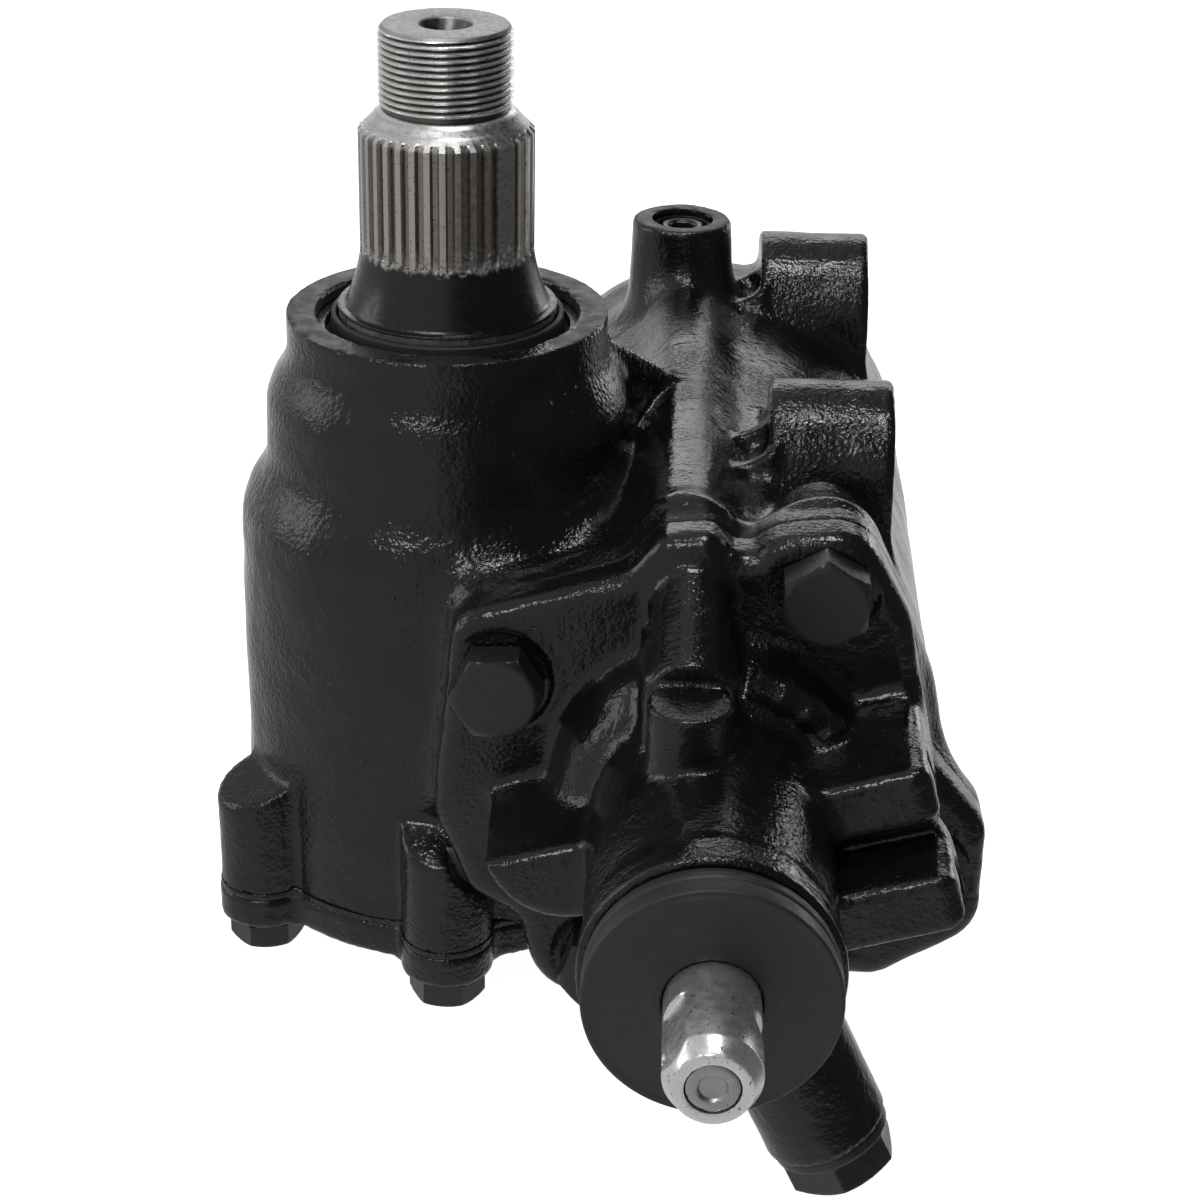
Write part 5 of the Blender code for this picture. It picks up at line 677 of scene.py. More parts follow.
# Main casting, in mm
TOP = 84.6
BOTTOM = -50.0
TOWER = (
    (-56.0, 48.9),
    (31.0, 48.6),
    (39.0, 47.9),
    (43.5, 46.0),
    (47.0, 43.6),
    (50.5, 42.0),
    (65.0, 41.6),
    (69.5, 40.0),
    (73.0, 37.6),
    (76.0, 36.6),
    (TOP, 36.6),
)
CYLINDER = ((-48.0, 50.8), (130.0, 52.2), (142.0, 50.6))
FLANGE_CORNERS = (
    (-57.0, 37.5, 9.0),
    (-61.5, -12.0, 14.0),
    (-53.5, -32.0, 8.0),
    (-43.0, -38.0, 8.0),
    (-37.5, -57.0, 12.0),
    (-8.0, -61.0, 12.0),
    (10.0, -50.5, 14.0),
    (40.0, -50.5, 10.0),
    (61.5, -37.0, 12.0),
    (61.5, -10.5, 12.0),
    (48.5, 6.0, 12.0),
    (41.5, 40.0, 16.0),
    (31.0, 59.5, 11.0),
    (11.0, 57.5, 12.0),
    (4.0, 49.5, 5.0),
    (0.0, 58.5, 6.0),
    (-12.5, 57.0, 6.0),
    (-20.0, 48.0, 10.0),
)
JOINT_BACK = -54.97
JOINT_FRONT = -55.03
FLANGE_BACK = -44.0
FLANGE_FRONT = -65.0
COVER_BOLT_CIRCLE = 50.9
LUG_RADIUS, LUG_FOOT, LUG_EDGE = 10.6, 14.0, 1.6
LUG_TOP, LUG_RIDGE, LUG_PITCH = -27.5, -14.0, math.radians(21)
COVER_RADIUS, EAR_RADIUS, GASKET_LOW = 49.2, 10.8, -51.5
COVER_ANGLES = (33.5, 93.5, 145.0, 213.5, 273.5, 333.5)
VALVE_BOLT_CIRCLE = 52.07
VALVE_ANGLES = [64.2 + 90 * i for i in range(4)]
MOUNT_CENTRES = ((6.5, 45.0), (117.0, 45.0), (62.0, -45.0))
MOUNT_BACK, MOUNT_FACE, MOUNT_RADIUS, MOUNT_FOOT = 12.0, 40.5, 21.0, 24.0
RIDGE = (-7.5, 49.5)
PLUG_BOSS = (-9.3, 109.0)
RIB_SHIFTS = (-17.8, 0.5)
CAST_WAVES = ((3.1, 0.05), (9.0, 0.2), (23.0, 0.34))


def on_sector(radius, degrees, z):
    angle = math.radians(degrees)
    return (radius * math.cos(angle) - CENTRE_DISTANCE, radius * math.sin(angle), z)


def on_worm(radius, degrees, y):
    angle = math.radians(degrees)
    return (radius * math.cos(angle), y, radius * math.sin(angle))


def flange_form(front, back, edge, grow=0.0):
    corners = []
    for x, z, radius in FLANGE_CORNERS:
        corner = Vector((x, z))
        corner += corner.normalized() * grow
        corners.append((corner.x, corner.y, radius))
    return plate(FACING_FRONT, rounded_outline(corners), -back, -front, edge)


def mount_form(y, z):
    """A half-round block along X that stands on the cylinder, above or below it."""
    side = 1.0 if z > 0 else -1.0
    outline = [(y - MOUNT_RADIUS, side * MOUNT_FOOT)]
    turns = np.linspace(0, math.pi, 25)
    outline += [(y - MOUNT_RADIUS * math.cos(a), z + side * MOUNT_RADIUS * math.sin(a)) for a in turns]
    outline += [(y + MOUNT_RADIUS, side * MOUNT_FOOT)]
    return plate(FACING_RIGHT, outline, MOUNT_BACK, MOUNT_FACE, 1.6)


def rib(start, end, thickness, foot, sag):
    """An upright rib between two upper corners; its top edge sags between them."""
    start, end = Vector(start), Vector(end)
    along = Vector((end.x - start.x, end.y - start.y, 0.0))
    direction = along.normalized()
    matrix = Matrix.Identity(4)
    for column, axis in enumerate((direction, Vector((0, 0, 1)), direction.cross(Vector((0, 0, 1))))):
        matrix.col[column][:3] = axis
    matrix.translation = Vector((start.x, start.y, 0.0))
    outline = [(0.0, foot), (along.length, foot)]
    for t in np.linspace(1.0, 0.0, 9):
        outline.append((along.length * t, start.z + (end.z - start.z) * t - sag * 4 * t * (1 - t)))
    return plate(matrix, outline, -thickness / 2, thickness / 2, 1.2)


def lug_outline(radius):
    """U-shaped outline of a cover lug, with the sector axis at its origin."""
    foot = COVER_BOLT_CIRCLE - LUG_FOOT
    return [(foot, -radius), *arc(radius, -90, 90, 20, (COVER_BOLT_CIRCLE, 0.0)), (foot, radius)]


def lug_form(degrees):
    """A bolt lug on the tower, whose top slopes up to the wall."""
    angle = math.radians(degrees)
    wall = plate(SECTOR @ Matrix.Rotation(angle, 4, "Z"), lug_outline(LUG_RADIUS), BOTTOM - 4.0, LUG_RIDGE)

    def distance(x, y, z):
        inward = COVER_BOLT_CIRCLE + LUG_RADIUS - (x + CENTRE_DISTANCE) * math.cos(angle) - y * math.sin(angle)
        roof = (z - LUG_TOP) * math.cos(LUG_PITCH) - inward * math.sin(LUG_PITCH)
        return smooth_max(wall[2](x, y, z), roof, LUG_EDGE)

    return wall[0], wall[1], distance


def gear_housing_forms():
    forms = [
        (0.0, lathe(SECTOR, TOWER, 1.0, 1.1)),
        (9.0, lathe(ALONG_Y, CYLINDER, 5.0)),
        (8.0, flange_form(JOINT_FRONT - 4.0, FLANGE_BACK, 7.0)),
    ]
    for degrees in COVER_ANGLES:
        forms.append((2.2, lug_form(degrees)))
    for degrees in VALVE_ANGLES:
        front = on_worm(VALVE_BOLT_CIRCLE, degrees, FLANGE_BACK - 2)
        back = on_worm(VALVE_BOLT_CIRCLE, degrees, -27.0)
        forms.append((4.0, rod(front, back, 12.5, 9.0, 2.0)))
    forms.append((7.0, rod((RIDGE[0], -46.0, RIDGE[1]), (RIDGE[0], 104.0, RIDGE[1]), 9.2, edge=3.0)))
    boss_foot = (*PLUG_BOSS, 41.5)
    forms.append((7.0, rod(boss_foot, (*PLUG_BOSS, 72.5), 14.6, 12.8, 1.2)))
    for y, z in MOUNT_CENTRES:
        forms.append((5.0, mount_form(y, z)))
    for y, _ in MOUNT_CENTRES[:2]:
        for shift in RIB_SHIFTS:
            start = (-5.0, y + shift, 50.5)
            end = (MOUNT_BACK + 1.0, y + shift, 57.0)
            forms.append((2.2, rib(start, end, 4.0, 38.0, 1.6)))
    forms.append((2.5, rib((-28.0, 6.0, 77.0), (-10.5, 30.5, 57.5), 5.4, 40.0, 0.0)))
    return forms


def gear_housing_cuts():
    bore = ((-60.0, 41.0), (31.0, 41.0))
    mouth = ((37.0, 30.2), (TOP + 6, 30.2))
    cuts = [
        (0.4, lathe(SECTOR, ((-62.0, 80.0), (BOTTOM, 80.0)))),
        (0.3, lathe(SECTOR, ((TOP - 0.15, 60.0), (TOP + 8.0, 60.0)))),
        (0.6, lathe(SECTOR, mouth)),
        (0.0, lathe(SECTOR, ((79.2, 31.8), (81.6, 31.8)))),
        (0.0, lathe(SECTOR, ((30.0, 27.0), (38.0, 27.0)))),
        (0.0, lathe(SECTOR, bore)),
        (0.0, lathe(ALONG_Y, ((-61.0, 41.0), (129.5, 41.0), (131.0, 39.5)))),
        (0.25, flange_form(FLANGE_FRONT - 5, JOINT_BACK, 0.0, 3.0)),
    ]
    cuts += bolt_holes(BOTTOM - 6, BOTTOM + 8.7)
    for degrees in VALVE_ANGLES:
        front = on_worm(VALVE_BOLT_CIRCLE, degrees, -60.0)
        back = on_worm(VALVE_BOLT_CIRCLE, degrees, -42.3)
        cuts.append((0.0, rod(front, back, 6.6)))
    for y, z in MOUNT_CENTRES:
        cuts.append((0.5, rod((MOUNT_FACE + 6, y, z), (MOUNT_FACE - 25, y, z), 7.0)))
        cuts.append((0.0, rod((MOUNT_FACE + 3, y, z), (MOUNT_FACE - 1.2, y, z), 11.2, 7.0)))
    cuts.append((0.5, rod((*PLUG_BOSS, 78.0), (*PLUG_BOSS, 60.7), 8.1)))
    cuts.append((0.0, rod((*PLUG_BOSS, 61.7), (*PLUG_BOSS, 36.0), 3.5)))
    cuts.append((0.0, rod((RIDGE[0], -60.0, RIDGE[1]), (RIDGE[0], 109.0, RIDGE[1]), 3.1)))
    return cuts


BELL = (
    (-143.0, 26.6),
    (-134.0, 26.6),
    (-132.5, 25.8),
    (-84.0, 25.8),
    (-81.5, 26.6),
    (-79.0, 30.0),
    (-74.0, 33.0),
    (-69.0, 34.6),
    (-60.0, 35.5),
)
DUCT_X = -5.5
DUCT_FRAME = Matrix.Translation((DUCT_X, 0.0, 41.0))


# Side outlines of the port bosses in the tilted frame, as (y, z, rounding) corners
UPPER_BLOCK = (
    (-100.0, 10.4, 2.2),
    (-62.0, 10.4, 0.5),
    (-62.0, -7.0, 0.5),
    (-94.5, -5.6, 0.5),
    (-100.0, -1.0, 1.2),
)
LOWER_BLOCK = (
    (-112.0, -8.0, 2.0),
    (-88.0, -8.0, 0.5),
    (-88.0, -25.6, 0.5),
    (-101.0, -25.6, 3.0),
    (-112.0, -20.4, 1.5),
)


def port_form(corners, face):
    """A port boss: its side outline, drawn out to the right."""
    return plate(PORT_TILT @ FACING_RIGHT, rounded_outline(corners, 4), 8.0, face, 5.0)


def band(degrees, y, radius, thickness):
    """A raised bead round the worm axis, as a chain of rods."""
    shapes = []
    for a, b in zip(degrees, degrees[1:]):
        shapes.append((2.0, rod(on_worm(radius, a, y), on_worm(radius, b, y), thickness, edge=0.6)))
        shapes.append((1.0, ball(on_worm(radius, b, y), thickness)))
    return shapes


def valve_housing_forms():
    forms = [
        (0.0, flange_form(FLANGE_FRONT, JOINT_BACK + 6.0, 5.0)),
        (3.5, lathe(ALONG_Y, BELL, 1.2, 1.5)),
        (3.0, rod((DUCT_X, -61.0, 44.3), (DUCT_X, -91.5, 34.5), 8.5, edge=0.6)),
        (3.0, block(DUCT_FRAME, (-9.8, -91.0, -22.0), (9.8, -60.0, -3.0), 2.0)),
        (2.0, rod((DUCT_X, -99.5, 8.0), (DUCT_X, -99.5, 37.3), 8.8, edge=0.6)),
        (5.0, rod(on_worm(0, -65, -112.0), on_worm(62.0, -65, -112.0), 13.5, edge=0.8)),
        (4.0, port_form(UPPER_BLOCK, 48.5)),
        (2.0, block(PORT_TILT, (8.0, -93.5, -12.0), (47.2, -62.0, 2.0), 1.2)),
        (2.4, port_form(LOWER_BLOCK, 49.5)),
    ]
    corner = arc(18.0, 180, 270, 12, (-29.0, 9.0))
    outline = [(-12.0, 9.0), (-47.0, 9.0), *corner[1:], (-12.0, -9.0)]
    forms.append((4.0, plate(PORT_TILT @ FACING_FRONT, outline, 63.0, 97.5, 3.0)))
    forms += band((76, 64, 52, 40, 28), -77.0, 31.0, 4.0)
    return forms


def valve_housing_cuts():
    cuts = [
        (0.25, flange_form(JOINT_FRONT, JOINT_FRONT + 12.0, 0.0, 3.0)),
        (0.0, lathe(ALONG_Y, ((-66.0, 31.0), (-50.0, 31.0)))),
        (0.0, lathe(ALONG_Y, ((-78.0, 24.5), (-60.0, 24.5)))),
        (0.0, lathe(ALONG_Y, ((-118.0, 20.4), (-70.0, 20.4)))),
        (0.4, lathe(ALONG_Y, ((-148.0, 17.8), (-110.0, 17.8)))),
    ]
    for degrees in VALVE_ANGLES:
        seat = on_worm(VALVE_BOLT_CIRCLE, degrees, FLANGE_FRONT + 0.4)
        front = on_worm(VALVE_BOLT_CIRCLE, degrees, -100.0)
        back = on_worm(VALVE_BOLT_CIRCLE, degrees, -50.0)
        cuts.append((1.0, rod(front, seat, 11.6)))
        cuts.append((0.0, rod(front, back, 6.6)))
    for face, y, offset in ((48.5, -89.0, 1.5), (49.5, -101.5, -17.5)):
        mouth = PORT_TILT @ Vector((face + 6, y, offset))
        floor = PORT_TILT @ Vector((face - 15, y, offset))
        inner = PORT_TILT @ Vector((15.0, y, offset * 0.4))
        cuts.append((0.5, rod(mouth, floor, 6.6)))
        cuts.append((0.0, rod(floor, inner, 3.5)))
    cuts.append((0.5, rod(on_worm(67.0, -65, -112.0), on_worm(30.0, -65, -112.0), 8.0)))
    return cuts


def cover_plate(low, high, edge, soft, grow=0.0):
    """Round plate with an ear round each cover bolt."""
    forms = [(0.0, lathe(SECTOR, ((low, COVER_RADIUS + grow), (high, COVER_RADIUS + grow)), edge))]
    for degrees in COVER_ANGLES:
        turn = SECTOR @ Matrix.Rotation(math.radians(degrees), 4, "Z")
        forms.append((soft, plate(turn, lug_outline(EAR_RADIUS + grow), low, high, edge)))
    return forms


def cover_forms():
    forms = cover_plate(-59.5, GASKET_LOW - 0.02, 1.4, 3.0)
    forms.append((0.5, lathe(SECTOR, ((-54.0, 30.0), (-27.5, 30.0)), 1.0)))
    forms.append((3.0, lathe(SECTOR, ((-63.0, 23.0), (-58.0, 26.5)), 1.2)))
    return forms


def bolt_holes(low, high):
    holes = []
    for degrees in COVER_ANGLES:
        start, end = (on_sector(COVER_BOLT_CIRCLE, degrees, z) for z in (low, high))
        holes.append((0.0, rod(start, end, 5.6)))
    return holes


def cover_cuts():
    return [
        (0.0, lathe(SECTOR, ((-55.0, 23.8), (-20.0, 23.8)))),
        (0.4, lathe(SECTOR, ((-70.0, 5.6), (-50.0, 5.6)))),
        *bolt_holes(-66.0, -46.0),
    ]


def paint_faces(obj, rules):
    """Gives faces the material of the first rule that holds, from their centres and normals in mm."""
    mesh = obj.data
    count = len(mesh.polygons)
    centres, normals = np.zeros(count * 3), np.zeros(count * 3)
    mesh.polygons.foreach_get("center", centres)
    mesh.polygons.foreach_get("normal", normals)
    centres = (centres.reshape(-1, 3) - ORIGIN) / MM
    normals = normals.reshape(-1, 3)
    slots = np.zeros(count, np.int32)
    for slot, rule in rules:
        slots[(slots == 0) & rule(centres, normals)] = slot
    mesh.polygons.foreach_set("material_index", slots)
    mesh.update()


def sector_radius(p):
    return np.hypot(p[:, 0] + CENTRE_DISTANCE, p[:, 1])


def worm_radius(p):
    return np.hypot(p[:, 0], p[:, 2])


def build_castings():
    housing = new_object(
        "cast_gear_housing",
        *skin(gear_housing_forms(), gear_housing_cuts(), CASTING_STEP, CAST_WAVES),
        (PAINT, FACE_PAINT, IRON),
    )
    paint_faces(
        housing,
        (
            (1, lambda p, n: (p[:, 2] > TOP - 0.25) & (n[:, 2] > 0.8)),
            (1, lambda p, n: (p[:, 2] > 71.9) & (n[:, 2] > 0.8) & (np.abs(p[:, 0] - PLUG_BOSS[0]) < 14)),
            (2, lambda p, n: (sector_radius(p) < 32.2) & (p[:, 2] < 84.2)),
            (2, lambda p, n: (sector_radius(p) < 41.3) & (p[:, 2] < 31.0)),
            (2, lambda p, n: (worm_radius(p) < 41.3) & (p[:, 1] < 131.5)),
            (2, lambda p, n: (p[:, 2] < BOTTOM + 0.2) & (n[:, 2] < -0.8)),
            (2, lambda p, n: (np.abs(p[:, 1] - JOINT_BACK) < 0.2) & (n[:, 1] < -0.8)),
        ),
    )
    settle(housing, "housing", ("gear_housing",))
    valve = new_object(
        "cast_valve_housing",
        *skin(valve_housing_forms(), valve_housing_cuts(), VALVE_STEP, CAST_WAVES),
        (PAINT, IRON),
    )
    paint_faces(
        valve,
        (
            (1, lambda p, n: (worm_radius(p) < 18.4) & (p[:, 1] > -142)),
            (1, lambda p, n: (worm_radius(p) < 31.3) & (p[:, 1] > -66.5) & (n[:, 1] > -0.5)),
            (1, lambda p, n: (p[:, 1] > JOINT_FRONT - 0.2) & (n[:, 1] > 0.8)),
        ),
    )
    settle(valve, "housing", ("valve_housing",))
    cover = new_object(
        "cast_side_cover", *skin(cover_forms(), cover_cuts(), COVER_STEP, CAST_WAVES[:2]), (PAINT, IRON)
    )
    paint_faces(cover, ((1, lambda p, n: (sector_radius(p) < 24.0) & (p[:, 2] > -55.4)),))
    settle(cover, "housing", ("side_cover",))
    forms = cover_plate(GASKET_LOW, BOTTOM - 0.02, 0.1, 3.0, -0.1)
    cuts = [(0.0, lathe(SECTOR, ((-60.0, 41.3), (-40.0, 41.3)))), *bolt_holes(-60.0, -40.0)]
    gasket = new_object("painted_cover_gasket", *skin(forms, cuts, GASKET_STEP), (PAINT,))
    settle(gasket, "housing", ("cover_gasket",))


def hexagon_outline(flats, rounding):
    radius = flats / math.sqrt(3)
    corners = [(radius * math.cos(math.radians(60 * i)), radius * math.sin(math.radians(60 * i))) for i in range(6)]
    return rounded_outline([(x, y, rounding) for x, y in corners], 2)


def build_bolt(names, matrices, flats, head, shank, length):
    """A hexagon bolt and its copies: the head stands along the local Z axis and the shank below it."""
    hexagon = plate(UPRIGHT, hexagon_outline(flats, 0.3), 0.6, head, 0.3)
    washer = lathe(UPRIGHT, ((0.0, flats * 0.487), (0.9, flats * 0.487)), 0.2)
    crown = flats * 0.48
    cone = ((-length - 9.0, crown + (head + length + 9.0) * 1.7), (head + 9.0, crown - 9.0 * 1.7))
    keep = lathe(UPRIGHT, cone)
    chamfer = (keep[0], keep[1], lambda x, y, z: -keep[2](x, y, z))
    forms = [(0.0, hexagon), (0.3, washer), (0.0, rod((0, 0, 1), (0, 0, -length), shank, edge=0.8))]
    points, faces = skin(forms, [(0.3, chamfer)], FINE_STEP)
    first = None
    for name, matrix in zip(names, matrices):
        if first is None:
            first = new_object(f"hex_{name}", points - ORIGIN / MM, faces, (BOLT,), 30.0)
            obj = first
        else:
            obj = bpy.data.objects.new(f"hex_{name}", first.data)
            bpy.context.scene.collection.objects.link(obj)
        place = matrix.copy()
        place.translation = Vector(matrix.translation) * MM + Vector(ORIGIN)
        obj.matrix_world = place
        settle(obj, "housing", (name,))


def build_bolts():
    turns = (8, 33, 17, 49, 3, 26)
    down = Matrix.Rotation(math.pi, 4, "X")
    places = []
    for degrees, turn in zip(COVER_ANGLES, turns):
        move = Matrix.Translation(on_sector(COVER_BOLT_CIRCLE, degrees, -59.8))
        places.append(move @ down @ Matrix.Rotation(math.radians(turn), 4, "Z"))
    build_bolt([f"cover_bolt_{i + 1}" for i in range(6)], places, 15.5, 6.8, 5.0, 16.0)
    front = Matrix.Rotation(math.pi / 2, 4, "X")
    places = []
    for degrees, turn in zip(VALVE_ANGLES, (30, 2, 12, 40)):
        move = Matrix.Translation(on_worm(VALVE_BOLT_CIRCLE, degrees, -64.9))
        places.append(move @ front @ Matrix.Rotation(math.radians(turn), 4, "Z"))
    build_bolt([f"valve_housing_bolt_{i + 1}" for i in range(4)], places, 18.0, 9.0, 6.0, 20.8)


def half_of_node(name, normal, offset):
    """Points in mm and faces of a CAD node's part on one side of a plane, closed again."""
    source = frame["nodes"][name]
    source = source if isinstance(source, bpy.types.Object) else bpy.data.objects[name]
    bm = bmesh.new()
    bm.from_mesh(source.data)
    bm.transform(source.matrix_world)
    place = Vector(ORIGIN) + Vector(normal) * offset * MM
    found = bmesh.ops.bisect_plane(
        bm, geom=bm.verts[:] + bm.edges[:] + bm.faces[:], plane_co=place, plane_no=normal, clear_outer=True
    )
    edges = [item for item in found["geom_cut"] if isinstance(item, bmesh.types.BMEdge)]
    bmesh.ops.holes_fill(bm, edges=edges)
    bmesh.ops.recalc_face_normals(bm, faces=bm.faces)
    points = np.array([tuple(v.co) for v in bm.verts])
    faces = [tuple(v.index for v in face.verts) for face in bm.faces]
    bm.free()
    return (points - ORIGIN) / MM, faces


def joined(*parts):
    """One mesh from several, each with its points and faces."""
    points, faces, start = [], [], 0
    for places, polygons in parts:
        points.append(places)
        faces += [tuple(int(i) + start for i in face) for face in polygons]
        start += len(places)
    return np.concatenate(points), faces


SPLINE_TEETH = 36
SPLINE_BASE, SPLINE_TOP = 99.3, 129.0
SPLINE_ROOT = 18.45
CONE_BOTTOM, CONE_FOOT = 87.0, 23.1
SHOULDER_RADIUS = 17.3
MASTER_TURN = math.radians(-43.0)
THREAD_LOW, THREAD_HIGH, THREAD_PITCH, THREAD_DEPTH = 132.6, 150.2, 1.5, 0.92


def build_sector_shaft():
    """The CAD's toothed lower part, under a splined and threaded end with real grooves."""
    pitch = 2 * math.pi / SPLINE_TEETH
    shares = (-0.5, -0.38, -0.30, -0.17, -0.06, 0.06, 0.17, 0.30, 0.38)
    angles, depth = [], []
    for i in range(SPLINE_TEETH):
        for share in shares:
            angles.append((i + share) * pitch + MASTER_TURN)
            floor = min(max((0.30 - abs(share)) / 0.13, 0.0), 1.0)
            depth.append(0.0 if i == 0 else floor)
    angles, depth = np.array(angles), np.array(depth)
    rows = [(85.9, 25.0), (86.2, 25.0), (86.5, 24.7), (86.6, CONE_FOOT + 0.4), (CONE_BOTTOM, CONE_FOOT)]
    for z in np.arange(CONE_BOTTOM + 0.4, SPLINE_BASE, 0.5):
        t = (z - CONE_BOTTOM) / (SPLINE_BASE - CONE_BOTTOM)
        rows.append((z, SPLINE_TIP + (CONE_FOOT - SPLINE_TIP) * (1 - t) ** 1.5))
    for z in np.arange(SPLINE_BASE, SPLINE_TOP - 2.4, 0.4):
        fade = min(max((z - SPLINE_BASE) / 4.2, 0.0), 1.0)
        narrow = np.clip((depth - (1 - fade)) / max(fade, 0.05), 0.0, 1.0)
        rows.append((z, SPLINE_TIP - (SPLINE_TIP - SPLINE_ROOT) * narrow * math.sqrt(fade)))
    cut_radii = SPLINE_TIP - (SPLINE_TIP - SPLINE_ROOT) * depth
    for z in np.linspace(SPLINE_TOP - 2.4, SPLINE_TOP, 7):
        rows.append((z, np.minimum(cut_radii, SPLINE_TIP - (z - SPLINE_TOP + 2.4))))
    rows += [(129.3, 16.9), (130.3, 16.2), (131.2, 15.2), (131.6, 14.1), (132.5, 14.05)]
    for z in np.arange(THREAD_LOW, THREAD_HIGH, THREAD_PITCH / 10):
        phase = (z / THREAD_PITCH - angles / (2 * math.pi)) % 1.0
        groove = np.clip(1.15 - np.abs(phase - 0.5) * 2.9, 0.0, 1.0)
        end = min(max((z - THREAD_LOW) / 1.0, 0.0), 1.0)
        radii = THREAD_TIP - THREAD_DEPTH * groove * end
        radii = np.minimum(radii, THREAD_TIP - max(z - (THREAD_HIGH - 1.3), 0.0) * 0.85)
        rows.append((z, radii if end > 0.3 else np.minimum(radii, 14.3)))
    rows += [
        (THREAD_HIGH, 13.7),
        (THREAD_HIGH, 12.0),
        (THREAD_HIGH, 6.6),
        (THREAD_HIGH - 0.15, 6.1),
        (147.6, 4.2),
        (146.6, 3.6),
        (146.3, 2.4),
        (143.9, 2.3),
        (143.7, 2.1),
    ]
    upper = polar_skin(SECTOR, angles, rows)
    lower = half_of_node("sector_shaft", (0, 0, 1), 86.0)
    points, faces = joined(lower, upper)
    shaft = new_object("splined_sector_shaft", points, faces, (SHAFT_END, GROUND), 32.0)
    paint_faces(shaft, ((1, lambda p, n: p[:, 2] < 80.0),))
    settle(shaft, "sector", ("sector_shaft",))


def build_input_shaft():
    """The CAD's spool, under a front end with its chamfer, clamp flat and scallop."""
    tip = -179.7
    front = [(0.0, lathe(ALONG_Y, ((tip, 7.625), (tip + 4.0, 9.525), (-149.9, 9.525)), 0.3))]
    flat = Matrix.Rotation(math.radians(30), 4, "Y")
    cuts = [
        (0.2, lathe(ALONG_Y, ((tip - 5, 5.4), (-140.0, 5.4)))),
        (0.3, block(flat, (-19.0, tip - 5, -9.5), (-8.5, tip + 20.0, 9.5), 0.6)),
        (0.4, rod((11.925, tip + 17.0, -14.5), (11.925, tip + 17.0, 14.5), 4.5)),
        (0.2, rod((-14.5, tip + 7.7, 0), (14.5, tip + 7.7, 0), 1.65)),
    ]
    points, faces = skin(front, cuts, FINE_STEP)
    rear = half_of_node("input_shaft", (0, -1, 0), 150.0)
    points, faces = joined(rear, (points, faces))
    shaft = new_object("turned_input_shaft", points, faces, (BRIGHT,), 32.0)
    settle(shaft, "input", ("input_shaft",))
    bar = [
        (0.0, rod((0, -179.4, 0), (0, -164.7, 0), 5.1, edge=0.5)),
        (0.0, rod((0, -165.0, 0), (0, -160.7, 0), 5.1, 3.3)),
        (0.3, rod((0, -161.0, 0), (0, -60.4, 0), 3.3)),
        (0.0, rod((0, -62.7, 0), (0, -58.7, 0), 3.3, 5.1)),
        (0.0, rod((0, -58.9, 0), (0, -43.0, 0), 5.1, edge=0.4)),
    ]
    bar_cuts = [
        (0.15, lathe(ALONG_Y, ((-184.0, 3.0), (-179.4, 3.0), (-178.8, 2.5)))),
        (0.0, rod((-8.0, tip + 7.7, 0), (8.0, tip + 7.7, 0), 1.65)),
    ]
    bar_forms = bar + [(0.1, rod((0, -179.35, 0), (0, -178.0, 0), 2.2, edge=0.3))]
    core = new_object("turned_torsion_bar", *skin(bar_forms, bar_cuts, FINE_STEP), (GROUND,), 32.0)
    settle(core, "input", ("torsion_bar",))


